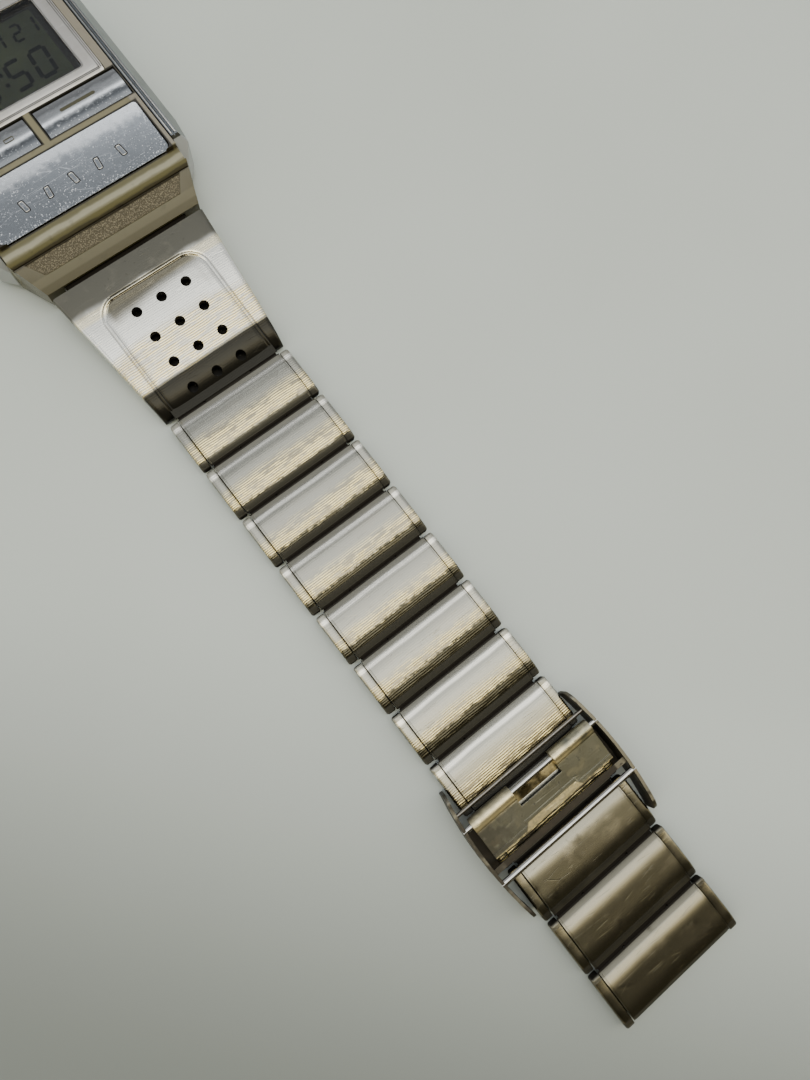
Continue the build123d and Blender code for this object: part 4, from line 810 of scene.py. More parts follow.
@dataclass(frozen=True)
class BoardLacquer(Finish):
    """Green circuit board with copper tracks under the lacquer."""

    green: Tone = (0.012, 0.10, 0.045)
    track: Tone = (0.035, 0.20, 0.085)

    def paint(self) -> bpy.types.Material:
        """Paints straight tracks from stepped cells."""
        p = Paint(self.name)
        cells = p.add("ShaderNodeTexVoronoi",
                      {"distance": "CHEBYCHEV", "feature": "DISTANCE_TO_EDGE"},
                      {"Vector": p.place, "Scale": 0.6})
        track = Value(p, cells.outputs["Distance"]).band(0.05, 0.14, 0.02)
        cloud = p.noise(0.5, 3.0)
        ground = p.mix(cloud, self.green, dimmed(self.green, 0.7))
        return p.coat(Base_Color=p.mix(track, ground, self.track), Roughness=0.3 + cloud * 0.15,
                      Normal=p.bump(track, 0.03))


@dataclass(frozen=True)
class SpunSteel(Finish):
    """Satin steel of the case back, brushed in arcs, with hairline scratches."""

    tone: Tone = (0.58, 0.57, 0.55)
    cloudy: Tone = (0.42, 0.41, 0.38)
    grime: Tone = (0.15, 0.12, 0.08)

    def paint(self) -> bpy.types.Material:
        """Paints brushing round the middle of the back."""
        p = Paint(self.name)
        radius = (p.x * p.x + p.y * p.y).power(0.5)
        ring = p.add("ShaderNodeCombineXYZ", None, {0: radius, 1: p.z * 0.1, 2: 0.0})
        rings = p.add("ShaderNodeTexNoise", None,
                      {"Vector": ring.outputs[0], "Scale": 5.0, "Detail": 4.0})
        brush = Value(p, rings.outputs["Fac"])
        marks = p.scuffs((0.3, 0.8, 0.015), (0.4, 2.3, 0.012, 5.0))
        cloud = p.noise(0.2, 4.0)
        grime = p.noise(0.7, 4.0, shift=(2.0, 7.0, 1.0)).rise(0.6, 0.8) * 0.4
        tone = p.mix(cloud.rise(0.4, 0.7) * 0.4, self.tone, self.cloudy)
        tone = p.mix(grime, tone, self.grime)
        return p.coat(Base_Color=tone, Metallic=1.0 - grime * 0.5,
                      Roughness=0.26 + brush * 0.2 + marks * 0.1,
                      Normal=p.bump(brush + marks * -0.4, 0.010))


class FinishRack:
    """Makes each finish once and hands out its material."""

    def __init__(self) -> None:
        """Starts empty."""
        self._made: dict[Finish, bpy.types.Material] = {}

    def get(self, finish: Finish) -> bpy.types.Material:
        """The material of a finish, painted on first use."""
        if finish not in self._made:
            self._made[finish] = finish.paint()
            LOG.info("painted %s", finish.name)
        return self._made[finish]


LINK_STEEL = LinkSteel("link_steel")
TAIL_STEEL = LinkSteel("tail_link_steel", silver=(0.118, 0.112, 0.088),
                       warm_highlight=(0.190, 0.180, 0.140), bright=(0.27, 0.247, 0.185),
                       comb=0.04, stain=0.75)
END_STEEL = EndSteel("end_piece_steel")
PLATE_CHROME = WornChrome("light_plate_chrome", tone=(0.35, 0.365, 0.375),
                          edge_box=(13.4, -17.0, -8.6, 1.0), glint=(-9.4, -8.0, 1.9))
BUTTON_CHROME = WornChrome("button_chrome", tone=(0.15, 0.156, 0.162), haze=0.13,
                           scratched=0.6, glint=(-5.2, -4.1, 0.8))
RAIL_CHROME = WornChrome("rail_chrome", tone=(0.225, 0.24, 0.245), haze=0.28, scratched=0.25,
                         pale_from=16.15)
ROD_CHROME = WornChrome("rod_chrome", tone=(0.60, 0.575, 0.52), haze=0.14, scratched=0.4)
DULL_ROD = WornChrome("dull_rod_steel", tone=(0.22, 0.20, 0.165), haze=0.26, scratched=0.3)
CLASP_STEEL = BrownedSteel("clasp_steel", silver=(0.15, 0.14, 0.11), darker_below=3.6,
                           crossbar_shade_band=(121.2, 122.4))
FLAP_STEEL = BrownedSteel("flap_steel", silver=(0.24, 0.235, 0.18), gold=(1.0, 0.86, 0.52),
                          darker_below=2.3, gold_band=(120.15, 120.9))
# Mostly near black, as painted shade in the flap's notch, with brass blotches.
TONGUE_BRASS = PlainTone("tongue_brass", (0.03, 0.024, 0.012), (0.50, 0.42, 0.24),
                         0.30, 1.0, 1.2, 0.03)
CASE_RESIN = AgedResin("case_resin_aged")
FRAME_STEEL = FrameSteel("display_frame_steel")
LCD_FACE = DisplayFace("display_face")
LENS = ClearLens("crystal_clear")
BACK_STEEL = SpunSteel("case_back_steel")
# Black for grooves, lines and the mask, and for the leaf of painted shade under the end pieces'
# holes.
GROOVE_AND_SHADE_BLACK = PlainTone("groove_black", (0.007, 0.006, 0.005), (0.012, 0.011, 0.009),
                         0.6, specular=0.2)
SEGMENT_INK = PlainTone("segment_ink", (0.001, 0.001, 0.001), (0.002, 0.003, 0.002),
                        0.6, depth=0.004, specular=0.05)
DASH_LACQUER = PlainTone("dash_lacquer", (0.075, 0.070, 0.035), (0.055, 0.05, 0.028), 0.4)
WORKS_PLASTIC = PlainTone("works_plastic_black", (0.030, 0.030, 0.032), (0.045, 0.045, 0.048), 0.5)
GUIDE_PLASTIC = PlainTone("light_guide_plastic", (0.62, 0.62, 0.58), (0.54, 0.54, 0.50), 0.25)
RUBBER = PlainTone("connector_rubber_grey", (0.10, 0.10, 0.11), (0.16, 0.15, 0.15), 0.7, grain=6.0)
CHIP_EPOXY = PlainTone("chip_epoxy", (0.020, 0.020, 0.022), (0.028, 0.028, 0.030), 0.6, grain=8.0)
WORKS_NICKEL = PlainTone("works_nickel", (0.60, 0.59, 0.57), (0.50, 0.49, 0.47),
                         0.30, 1.0, 5.0, 0.008)
WORKS_BRASS = PlainTone("works_brass_warm", (0.68, 0.50, 0.22), (0.55, 0.40, 0.17),
                        0.32, 1.0, 5.0, 0.008)
BOARD = BoardLacquer("board_lacquer")


# ---------------------------------------------------------------- meshes

MERGE_DISTANCE = 1e-6
SMOOTH_ANGLE = math.radians(32.0)
FLAT_ANGLE = math.radians(0.6)
BEVELLED_ANGLE = math.radians(60.0)


def placed(name: str, data: Any) -> bpy.types.Object:
    """A new object of that name and data, in the scene."""
    made = bpy.data.objects.new(name, data)
    bpy.context.scene.collection.objects.link(made)
    return made


def arc(centre: Point, radius: float, start: float, stop: float, steps: int) -> list[Point]:
    """Points on an arc.

    Args:
        centre: its centre.
        radius: its radius.
        start: first angle in degrees.
        stop: last angle in degrees.
        steps: the number of spans.
    Returns:
        The points, ends included.
    """
    angles = [math.radians(start + (stop - start) * n / steps) for n in range(steps + 1)]
    return [(centre[0] + radius * math.cos(a), centre[1] + radius * math.sin(a)) for a in angles]


def circle(centre: Point, radius: float, steps: int) -> list[Point]:
    """Points round a circle."""
    return arc(centre, radius, 0, 360 - 360 / steps, steps - 1)


def sided(sign: int, near: float, far: float) -> Point:
    """A span on one side of the middle, its lower end first."""
    low, high = sorted((sign * near, sign * far))
    return low, high


def both_ways(edge: Sequence[Station]) -> list[Station]:
    """A bar's stations from those of its right half, the outermost first."""
    return [(-x, depth) for x, depth in edge] + list(reversed(edge))


def inset(outline: Sequence[Point], depth: float) -> list[Point]:
    """Moves a closed counter-clockwise outline inwards.

    Args:
        outline: its points.
        depth: how far each edge moves.
    Returns:
        The same number of points.
    """
    tiny, sharpest, longest = 1e-9, 0.6, 1.6
    moved: list[Point] = []
    count = len(outline)
    for n in range(count):
        before, here, after = (Vector(outline[(n + k) % count]) for k in (-1, 0, 1))
        first, second = (here - before), (after - here)
        first = first.normalized() if first.length > tiny else second.normalized()
        second = second.normalized() if second.length > tiny else first
        inward = Vector((-first.y - second.y, first.x + second.x))
        size = max(inward.length, sharpest)
        moved.append(tuple(here + inward.normalized() * depth * min(2.0 / size, longest)))
    return moved


def rounded_box(low: Point, high: Point, radius: float, steps: int = 4) -> list[Point]:
    """A counter-clockwise rectangle outline with round corners."""
    (x0, y0), (x1, y1) = low, high
    r = radius
    middles = ((x1 - r, y0 + r), (x1 - r, y1 - r), (x0 + r, y1 - r), (x0 + r, y0 + r))
    return [point for n, middle in enumerate(middles)
            for point in arc(middle, r, 90 * n - 90, 90 * n, steps)]


class Shape:
    """Gathers closed shells in millimetres and turns them into one mesh object."""

    def __init__(self, name: str) -> None:
        """Starts an empty shape of that name."""
        self.name = name
        self.points: list[Vector] = []
        self.faces: list[tuple[int, ...]] = []

    def rings(self, rings: Sequence[Sequence[Vector]], looped: bool = False) -> None:
        """Adds a skin over closed rings.

        Args:
            rings: the rings, each of the same number of points.
            looped: whether the last ring joins the first; otherwise both ends are flat faces.
        """
        base, count = len(self.points), len(rings[0])
        for ring in rings:
            self.points.extend(Vector(p) for p in ring)
        for r in range(len(rings) if looped else len(rings) - 1):
            a, b = base + r * count, base + (r + 1) % len(rings) * count
            for n in range(count):
                m = (n + 1) % count
                self.faces.append((a + n, a + m, b + m, b + n))
        if not looped:
            last = base + (len(rings) - 1) * count
            self.faces.append(tuple(base + n for n in range(count)))
            self.faces.append(tuple(last + n for n in reversed(range(count))))

    def bar(self, outline: Sequence[Point], stations: Sequence[Station], side: int = 1) -> None:
        """Adds a bar along X whose section lies in reach and height.

        Args:
            outline: counter-clockwise points (reach, z).
            stations: (x, inset of the outline) along the bar.
            side: the sign of Y that reach runs to.
        """
        self.rings([[Vector((x, u * side, z)) for u, z in inset(outline, depth)]
                    for x, depth in stations])

    def plate(self, outline: Sequence[Point], levels: Sequence[Station],
              lift: Callable[[float], float] | None = None) -> None:
        """Adds a plate lying flat.

        Args:
            outline: counter-clockwise points (x, y).
            levels: (z, inset of the outline) from the bottom up.
            lift: extra height at a place in Y.
        """
        raise_by = lift or (lambda y: 0.0)
        self.rings([[Vector((x, y, z + raise_by(y))) for x, y in inset(outline, depth)]
                    for z, depth in levels])

    def rod(self, centre: Point, radius: float, ends: Point, side: int = 1,
            steps: int = 24, bevel: float = 0.06) -> None:
        """Adds a round rod along X with bevelled ends, centred at (reach, z)."""
        x0, x1 = ends
        self.bar(circle(centre, radius, steps),
                 [(x0, bevel), (x0 + bevel, 0.0), (x1 - bevel, 0.0), (x1, bevel)], side)

    def tube(self, centre: Point, outer: float, inner: float, half: float, side: int = 1,
             steps: int = 28) -> None:
        """Adds an open round tube along X, of half a length each way, centred at (reach, z)."""
        turns = ((outer, -half), (outer, half), (inner, half), (inner, -half))
        self.rings([[Vector((x, u * side, z)) for u, z in circle(centre, radius, steps)]
                    for radius, x in turns], looped=True)

    def box(self, low: Triple, high: Triple, side: int = 1) -> None:
        """Adds a block between two corners given as (x, reach, z)."""
        (x0, u0, z0), (x1, u1, z1) = low, high
        self.bar([(u0, z0), (u1, z0), (u1, z1), (u0, z1)], [(x0, 0.0), (x1, 0.0)], side)

    def finished(self) -> bpy.types.Object:
        """Makes the object: doubles merged, faces outwards, shading smooth below an angle."""
        mesh = bpy.data.meshes.new(self.name)
        mesh.from_pydata([p * MM for p in self.points], [], self.faces)
        tidy_mesh(mesh)
        return placed(self.name, mesh)


def tidy_mesh(mesh: bpy.types.Mesh, outwards: bool = True) -> None:
    """Merges doubles, turns faces outwards and sets smooth shading.

    Args:
        mesh: the mesh, in metres.
        outwards: whether normals are worked out again.
    """
    work = bmesh.new()
    work.from_mesh(mesh)
    bmesh.ops.remove_doubles(work, verts=work.verts, dist=MERGE_DISTANCE)
    if outwards:
        bmesh.ops.recalc_face_normals(work, faces=work.faces)
    work.to_mesh(mesh)
    work.free()
    mesh.shade_smooth()
    mesh.set_sharp_from_angle(angle=SMOOTH_ANGLE)


def softened(node: bpy.types.Object, name: str, width: float, angle: float = 24.0,
             segments: int = 2) -> bpy.types.Object:
    """A copy of a solid's mesh with its corners eased.

    Args:
        node: the solid's object.
        name: the copy's name.
        width: the bevel's width in millimetres.
        angle: edges sharper than this many degrees are eased.
        segments: faces across a bevel.
    Returns:
        The new object, with live Bevel and Weighted Normal modifiers.
    """
    mesh = node.data.copy()
    mesh.name = name
    work = bmesh.new()
    work.from_mesh(mesh)
    bmesh.ops.remove_doubles(work, verts=work.verts, dist=2.0 * MERGE_DISTANCE)
    bmesh.ops.dissolve_limit(work, angle_limit=FLAT_ANGLE, verts=work.verts, edges=work.edges)
    work.to_mesh(mesh)
    work.free()
    mesh.materials.clear()
    mesh.shade_smooth()
    mesh.set_sharp_from_angle(angle=BEVELLED_ANGLE)
    made = placed(name, mesh)
    bevel = made.modifiers.new("eased_corners", "BEVEL")
    bevel.width, bevel.segments, bevel.limit_method = width * MM, segments, "ANGLE"
    bevel.angle_limit, bevel.harden_normals = math.radians(angle), False
    bevel.use_clamp_overlap = True
    weighted = made.modifiers.new("flat_faces", "WEIGHTED_NORMAL")
    weighted.keep_sharp = False
    return made


def flattened(node: bpy.types.Object, name: str, travel: float) -> bpy.types.Object:
    """A copy of a leaf spring's mesh, bowed less, so that a pressed key has room above it.

    Args:
        node: the spring's object.
        name: the copy's name.
        travel: how much lower its top lies, in millimetres.
    Returns:
        The new object.
    """
    mesh = node.data.copy()
    mesh.name = name
    heights = [vertex.co.z for vertex in mesh.vertices]
    foot, rise = min(heights), max(heights) - min(heights)
    for vertex in mesh.vertices:
        vertex.co.z = foot + (vertex.co.z - foot) * (rise - travel * MM) / rise
    mesh.materials.clear()
    tidy_mesh(mesh, outwards=False)
    return placed(name, mesh)


# ---------------------------------------------------------------- geometry node trees


class ShapeTree(Graph):
    """A geometry node tree with named inputs, run on an object and turned into a plain mesh."""

    def __init__(self, name: str, inputs: dict[str, str]) -> None:
        """Makes the tree.

        Args:
            name: its name.
            inputs: socket type by input name, without the words that every type starts with.
        """
        super().__init__(bpy.data.node_groups.new(name, "GeometryNodeTree"))
        self.identifiers: dict[str, str] = {}
        panel = self.tree.interface
        for label, kind in {"Geometry": "Geometry", **inputs}.items():
            socket = panel.new_socket(label, in_out="INPUT", socket_type="NodeSocket" + kind)
            self.identifiers[label] = socket.identifier
        panel.new_socket("Geometry", in_out="OUTPUT", socket_type="NodeSocketGeometry")
        self.inputs = self.add("NodeGroupInput").outputs

    def close(self, shape: Any, finish: Any) -> None:
        """Ends the tree with Realize Instances and Set Material."""
        real = self.add("GeometryNodeRealizeInstances", None, {0: shape})
        dressed = self.add("GeometryNodeSetMaterial", None,
                           {0: real.outputs[0], "Material": finish})
        self.add("NodeGroupOutput", None, {0: dressed.outputs[0]})

    def run(self, carrier: bpy.types.Object, name: str, **values: Any) -> bpy.types.Object:
        """Runs the tree on an object.

        Args:
            carrier: the object whose mesh the tree reads; it is removed afterwards.
            name: the new piece's name.
            values: an input's value by its name.
        Returns:
            A plain mesh object.
        """
        modifier = carrier.modifiers.new("shape", "NODES")
        modifier.node_group = self.tree
        for label, value in values.items():
            modifier[self.identifiers[label]] = value
        bpy.context.view_layer.update()
        graph = bpy.context.evaluated_depsgraph_get()
        mesh = bpy.data.meshes.new_from_object(carrier.evaluated_get(graph))
        mesh.name = name
        tidy_mesh(mesh, outwards=False)
        bpy.data.objects.remove(carrier)
        return placed(name, mesh)


class LinkTree(ShapeTree):
    """Sets one link's shape in its place along the bracelet."""

    def __init__(self) -> None:
        """Inputs: the shape, its number, the row's start and pitch, the side and the steel."""
        super().__init__("bracelet_link", {
            "Shape": "Object", "Number": "Int", "First": "Float", "Pitch": "Float",
            "Turn": "Float", "Side": "Float", "Steel": "Material"})
        source = self.add("GeometryNodeObjectInfo", {"transform_space": "ORIGINAL"},
                          {"Object": self.inputs["Shape"]})
        number, pitch, first, side, turn = (
            Value(self, self.inputs[n]) for n in ("Number", "Pitch", "First", "Side", "Turn"))
        reach = (number - 1.0) * pitch + first
        spot = self.add("ShaderNodeCombineXYZ", None, {1: reach * side})
        spots = self.add("GeometryNodePoints", None, {"Count": 1, "Position": spot.outputs[0]})
        turned = self.add("ShaderNodeCombineXYZ", None, {2: turn})
        links = self.add("GeometryNodeInstanceOnPoints", None,
                         {"Points": spots.outputs[0], "Instance": source.outputs["Geometry"],
                          "Rotation": turned.outputs[0]})
        self.close(links.outputs[0], self.inputs["Steel"])


class PerforationTree(ShapeTree):
    """Cuts rows of round holes through a sheet."""

    PUNCH_Z = 4.0
    PUNCH_LENGTH = 7.0
    PUNCH_SIDES = 36

    def __init__(self) -> None:
        """Inputs: columns, rows, their spacings, the middle, the hole's radius and the steel."""
        super().__init__("perforated_sheet", {
            "Columns": "Int", "Rows": "Int", "Width": "Float", "Length": "Float",
            "Middle": "Float", "Radius": "Float", "Steel": "Material"})
        grid = self.add("GeometryNodeMeshGrid", None,
                        {"Size X": self.inputs["Width"], "Size Y": self.inputs["Length"],
                         "Vertices X": self.inputs["Columns"], "Vertices Y": self.inputs["Rows"]})
        middle = self.add("ShaderNodeCombineXYZ", None,
                          {1: self.inputs["Middle"], 2: self.PUNCH_Z * MM})
        moved = self.add("GeometryNodeTransform", None,
                         {"Geometry": grid.outputs[0], "Translation": middle.outputs[0]})
        punch = self.add("GeometryNodeMeshCylinder", {"fill_type": "NGON"},
                         {"Vertices": self.PUNCH_SIDES, "Radius": self.inputs["Radius"],
                          "Depth": self.PUNCH_LENGTH * MM})
        punches = self.add("GeometryNodeInstanceOnPoints", None,
                           {"Points": moved.outputs[0], "Instance": punch.outputs[0]})
        cutters = self.add("GeometryNodeRealizeInstances", None, {0: punches.outputs[0]})
        cut = self.add("GeometryNodeMeshBoolean", {"operation": "DIFFERENCE", "solver": "EXACT"},
                       {"Mesh 1": self.inputs["Geometry"], "Mesh 2": cutters.outputs[0]})
        self.close(cut.outputs[0], self.inputs["Steel"])


# ---------------------------------------------------------------- the watch


@dataclass
class Assembly:
    """A sub-assembly of the watch; carried says how its carried-over solids are finished."""

    frame: dict[str, Any]
    rack: FinishRack
    carried: ClassVar[dict[str, Finish]] = {}

    def keep(self, piece: bpy.types.Object, body: str, slot: str, finish: Finish | None = None,
             stands_for: Sequence[str] = ()) -> None:
        """Takes a new piece into the sub-assembly.

        Args:
            piece: the finished object.
            body: the body that it rides on.
            slot: the record's material slot; not used.
            finish: its finish, unless its tree has set it.
            stands_for: the solids that it replaces.
        """
        if finish is not None:
            piece.data.materials.clear()
            piece.data.materials.append(self.rack.get(finish))
        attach(piece, body)
        if stands_for:
            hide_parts(*stands_for)
        LOG.info("%s rides on %s with %d faces", piece.name, body, len(piece.data.polygons))

    def ease(self, node: str, name: str, body: str, slot: str, finish: Finish, width: float,
             angle: float, segments: int = 2) -> None:
        """Puts an eased copy in a solid's place.

        Args:
            node: the solid's name.
            name: the copy's name.
            body: the body that it rides on.
            slot: the record's material slot.
            finish: its finish.
            width: the bevel's width.
            angle: edges sharper than this many degrees are eased.
            segments: faces across a bevel.
        """
        eased = softened(self.frame["nodes"][node], name, width, angle, segments)
        self.keep(eased, body, slot, finish, (node,))

    def build(self) -> None:
        """Makes the meshes."""

    def dress(self) -> None:
        """Gives the carried-over solids their finishes."""
        for name, finish in self.carried.items():
            node = self.frame["nodes"][name]
            material = self.rack.get(finish)
            if node.material_slots:
                for place in node.material_slots:
                    place.material = material
            else:
                node.data.materials.append(material)
            LOG.info("%s is finished in %s", name, finish.name)


@dataclass
class Bracelet(Assembly):
    """The folded links: twelve towards six o'clock and three towards twelve."""

    first: float = 48.0
    pitch: float = 8.35
    half: float = 8.6
    near: float = 0.75
    far: float = 7.6
    floor: float = 0.5
    shoulder: float = 2.35
    crown: float = 2.56
    crown_spans: int = 12
    near_ridge: float = 1.3
    far_ridge: float = 6.95
    lip_gap: float = 0.13
    lip_low: float = 1.92
    lip_high: float = 1.99
    fold: float = 0.3
    seam: float = 0.6
    seam_depth: float = 0.4
    strip_start: float = 0.275
    strip_end: float = 8.075
    strip_top: float = 2.25
    strip_edge: float = 1.45
    hinge_z: float = 1.35
    barrel: float = 0.54
    pin: float = 0.3
    knuckle: float = 3.8
    arm: Point = (4.0, 8.3)
    bridge: Point = (8.1, 9.2)
    six_count: int = 12
    twelve_count: int = 3
    first_tail: int = 10

    def panel_outline(self, last: bool) -> list[Point]:
        """The folded panel's section: a flat crown between two ridges, and facets to the hinges.

        Args:
            last: whether no link follows, so that the far facet ends with the panel.
        Returns:
            Points as (reach, z).
        """
        middle = (self.near + self.far) / 2
        left, right, spans = self.near_ridge, self.far_ridge, self.crown_spans
        start, stop = self.lip_gap, self.far + 0.06 if last else self.pitch - self.lip_gap
        inside, bed = self.floor + self.fold, self.floor + self.seam_depth
        top = [(right + (left - right) * n / spans,
                self.shoulder + (self.crown - self.shoulder) * (1 - (2 * n / spans - 1) ** 4))
               for n in range(spans + 1)]
        return ([(self.near + self.fold, self.floor), (middle - self.seam, self.floor),
                 (middle - self.seam, bed), (middle + self.seam, bed),
                 (middle + self.seam, self.floor)]
                + arc((self.far - self.fold, inside), self.fold, -90, 0, 3)
                + [(self.far, self.lip_low - 0.02), (stop - 0.03, self.lip_low),
                   (stop, self.lip_low + 0.03), (stop - 0.04, self.lip_high),
                   (right + 0.32, self.shoulder - 0.10), (right + 0.12, self.shoulder - 0.02)]
                + top
                + [(left - 0.12, self.shoulder - 0.02), (left - 0.32, self.shoulder - 0.10),
                   (start + 0.04, self.lip_high), (start, self.lip_low + 0.03),
                   (start + 0.03, self.lip_low), (self.near, self.lip_low - 0.02)]
                + arc((self.near + self.fold, inside), self.fold, 180, 260, 3))

    def strip_outline(self) -> list[Point]:
        """The side strip's section, dipping towards its far end."""
        start, end, top = self.strip_start, self.strip_end, self.strip_top
        return ([(start + 0.1, self.floor), (end - 0.1, self.floor),
                 (end, self.floor + 0.1), (end, self.strip_edge)]
                + arc((end - 0.25, self.strip_edge), 0.25, 20, 60, 2)
                + [(end - 0.9, top - 0.26), (end - 1.7, top - 0.06), (end - 2.6, top),
                   (start + 2.0, top)]
                + arc((start + 0.35, top - 0.4), 0.35, 75, 180, 4)
                + [(start, self.floor + 0.1)])

    def link_shape(self, name: str, followed: bool) -> bpy.types.Object:
        """One link at its own start.

        Args:
            name: the shape's name.
            followed: whether it has a middle knuckle for a next link.
        Returns:
            The link's object, in its own place.
        """
        shape = Shape(name)
        insets = ((0.0, 0.06), (0.03, 0.025), (0.16, 0.025), (0.19, 0.065), (0.28, 0.065),
                  (0.32, 0.0), (2.0, 0.0))
        edge = [(self.half - inwards, depth) for inwards, depth in insets]
        shape.bar(self.panel_outline(not followed), both_ways(edge))
        strip = [(8.7, 0.10), (8.74, 0.03), (8.8, 0.0), (9.66, 0.0), (9.78, 0.03), (9.92, 0.13),
                 (10.0, 0.30)]
        outline = self.strip_outline()
        shape.bar(outline, strip)
        shape.bar(outline, [(-x, d) for x, d in reversed(strip)])
        low, high = self.hinge_z - 0.35, self.hinge_z + 0.3
        for sign in (-1, 1):
            start, stop = sided(sign, *self.arm)
            shape.rod((0.0, self.hinge_z), self.barrel, (start, stop))
            shape.box((start, 0.1, low), (stop, 1.1, high))
            start, stop = sided(sign, *self.bridge)
            shape.box((start, 2.0, 0.7), (stop, 6.4, 1.4))
        end = self.arm[1]
        shape.rod((0.0, self.hinge_z), self.pin, (-end, end), steps=12, bevel=0.03)
        if followed:
            end = self.knuckle
            shape.rod((self.pitch, self.hinge_z), self.barrel, (-end, end))
            shape.box((-end, self.far - 0.4, low), (end, self.pitch - 0.1, high))
        return shape.finished()

    def build(self) -> None:
        """Sets a link in each place with the link tree."""
        tree = LinkTree()
        full, last = self.link_shape("link_form", True), self.link_shape("last_link_form", False)
        for half, count in ((Half.SIX, self.six_count), (Half.TWELVE, self.twelve_count)):
            six, word = half is Half.SIX, half.name.lower()
            for number in range(1, count + 1):
                steel = TAIL_STEEL if six and number >= self.first_tail else LINK_STEEL
                made = tree.run(
                    placed("carrier", bpy.data.meshes.new("carrier")),
                    f"link_shell_{word}_{number:02d}", Number=number,
                    Shape=last if six and number == count else full,
                    First=self.first * MM, Pitch=self.pitch * MM, Side=float(half.value),
                    Turn=math.pi if six else 0.0, Steel=self.rack.get(steel))
                self.keep(made, f"{word}_{number:02d}", "satin_steel",
                          stands_for=(f"link_{word}_{number:02d}",))
        for form in (full, last):
            bpy.data.objects.remove(form)


@dataclass
class EndPieces(Assembly):
    """The two perforated end pieces between the case and the links."""

    near: float = 25.1
    far: float = 47.2
    near_half: float = 12.35
    end_half: float = 10.0
    end_reach: float = 48.0
    top_knots: tuple[Point, Point, Point] = ((24.8, 4.5), (36.0, 3.725), (46.1, 2.55))
    under_start: Point = (26.4, 2.9)
    side_roll: float = 0.5
    inner_roll: float = 0.08
    tilt: float = 0.09
    sheet: float = 0.7
    skirt: float = 0.6
    bend_start: float = 43.3
    bend_middle: Point = (41.45, 0.9)
    bend_size: Point = (5.75, 2.167)
    bend_angle: float = 18.77
    bend_steps: int = 14
    floor: float = 0.5
    panel_half: float = 8.4
    panel_reach: float = 29.2
    panel_corner: float = 3.0
    relief_knots: tuple[Point, ...] = (
        (-0.34, 0.0), (-0.22, -0.07), (-0.10, 0.06), (0.0, 0.13), (0.14, 0.13), (0.24, 0.04),
        (0.32, -0.02), (0.44, 0.07), (0.9, 0.12), (2.2, 0.15))
    fine_step: float = 0.085
    hole_radius: float = 0.74
    columns: int = 3
    rows: int = 4
    column_step: float = 4.06
    row_step: float = 4.23
    rows_middle: float = 39.2
    bar: Point = (23.6, 2.85)
    tube_radii: Point = (1.08, 0.8)
    tube_half: float = 9.8
    hinge: Point = (48.0, 1.35)
    barrel: float = 0.55
    knuckle: float = 3.8
    tongue: tuple[Point, ...] = ((23.5, 3.62), (24.4, 3.1), (27.0, 3.2), (27.0, 3.62),
                                 (25.2, 3.72), (24.2, 3.84), (23.5, 3.92))
    tongue_edge: Box = ((9.7, 0.05), (9.6, 0.0))
    lip: tuple[Point, ...] = ((46.3, 1.84), (47.83, 1.91), (47.86, 1.94), (47.82, 1.98),
                              (46.3, 2.02))
    lip_edge: Box = ((8.6, 0.02), (8.57, 0.0))
    # Where the leaf of painted shade under the holes starts, and its half width.
    hole_shade_start: float = 31.0
    hole_shade_half: float = 8.6

    def half_at(self, reach: float) -> float:
        """The half width at a reach."""
        share = (reach - self.near) / (self.end_reach - self.near)
        return self.near_half + (self.end_half - self.near_half) * share

    def top_at(self, reach: float) -> float:
        """The height of the top at a reach, a smooth curve through three heights."""
        a, b, c = self.top_knots
        total = 0.0
        for p, q, r in ((a, b, c), (b, a, c), (c, a, b)):
            total += p[1] * (reach - q[0]) * (reach - r[0]) / ((p[0] - q[0]) * (p[0] - r[0]))
        return total

    def under_at(self, reach: float) -> float:
        """The height of the skirts' lower edge at a reach."""
        start, height = self.under_start
        share = max(0.0, (reach - start) / (self.far - start))
        return height + (self.floor - height) * share

    def relief(self, x: float, reach: float) -> float:
        """The pressed outline: a bead between two fine grooves, and the panel inside it."""
        over_x = abs(x) - (self.panel_half - self.panel_corner)
        over_reach = (self.panel_reach + self.panel_corner) - reach
        if over_x > 0 and over_reach > 0:
            depth = self.panel_corner - math.hypot(over_x, over_reach)
        else:
            depth = min(self.panel_half - abs(x), reach - self.panel_reach)
        knots = self.relief_knots
        if depth <= knots[0][0]:
            return 0.0
        for (d0, h0), (d1, h1) in zip(knots, knots[1:]):
            if depth <= d1:
                return h0 + (h1 - h0) * (depth - d0) / (d1 - d0)
        return knots[-1][1]

    def row_list(self) -> list[Triple]:
        """Rows along the sheet as (reach, height, tilt of the normal in radians)."""
        reaches = [25.1, 25.6, 26.2, 27.0, 27.8, 28.4]
        reaches += [28.7 + self.fine_step * n for n in range(45)]
        reaches += [32.6 + 0.55 * n for n in range(25)]
        rows = [(r, self.top_at(r), self.tilt) for r in reaches if r < self.bend_start - 0.2]
        (cr, cz), (a, b), start = self.bend_middle, self.bend_size, self.bend_angle
        drop = self.top_at(self.bend_start) - (cz + b * math.cos(math.radians(start)))
        for step in range(self.bend_steps + 1):
            t = math.radians(start + (90.0 - start) * step / self.bend_steps)
            sink = drop * (1.0 - step / self.bend_steps)
            rows.append((cr + a * math.sin(t), cz + b * math.cos(t) + sink,
                         math.atan2(b * math.sin(t), a * math.cos(t))))
        return rows + [(self.far, self.floor + 0.02, math.pi / 2)]

    def across(self) -> list[float]:
        """Column places over the flat of the top, in millimetres, finer at the outline."""
        right = [0.0, 1.0, 2.0, 3.0, 4.06, 5.0]
        right += [5.3 + self.fine_step * n for n in range(44)]
        return [-x for x in reversed(right[1:])] + right

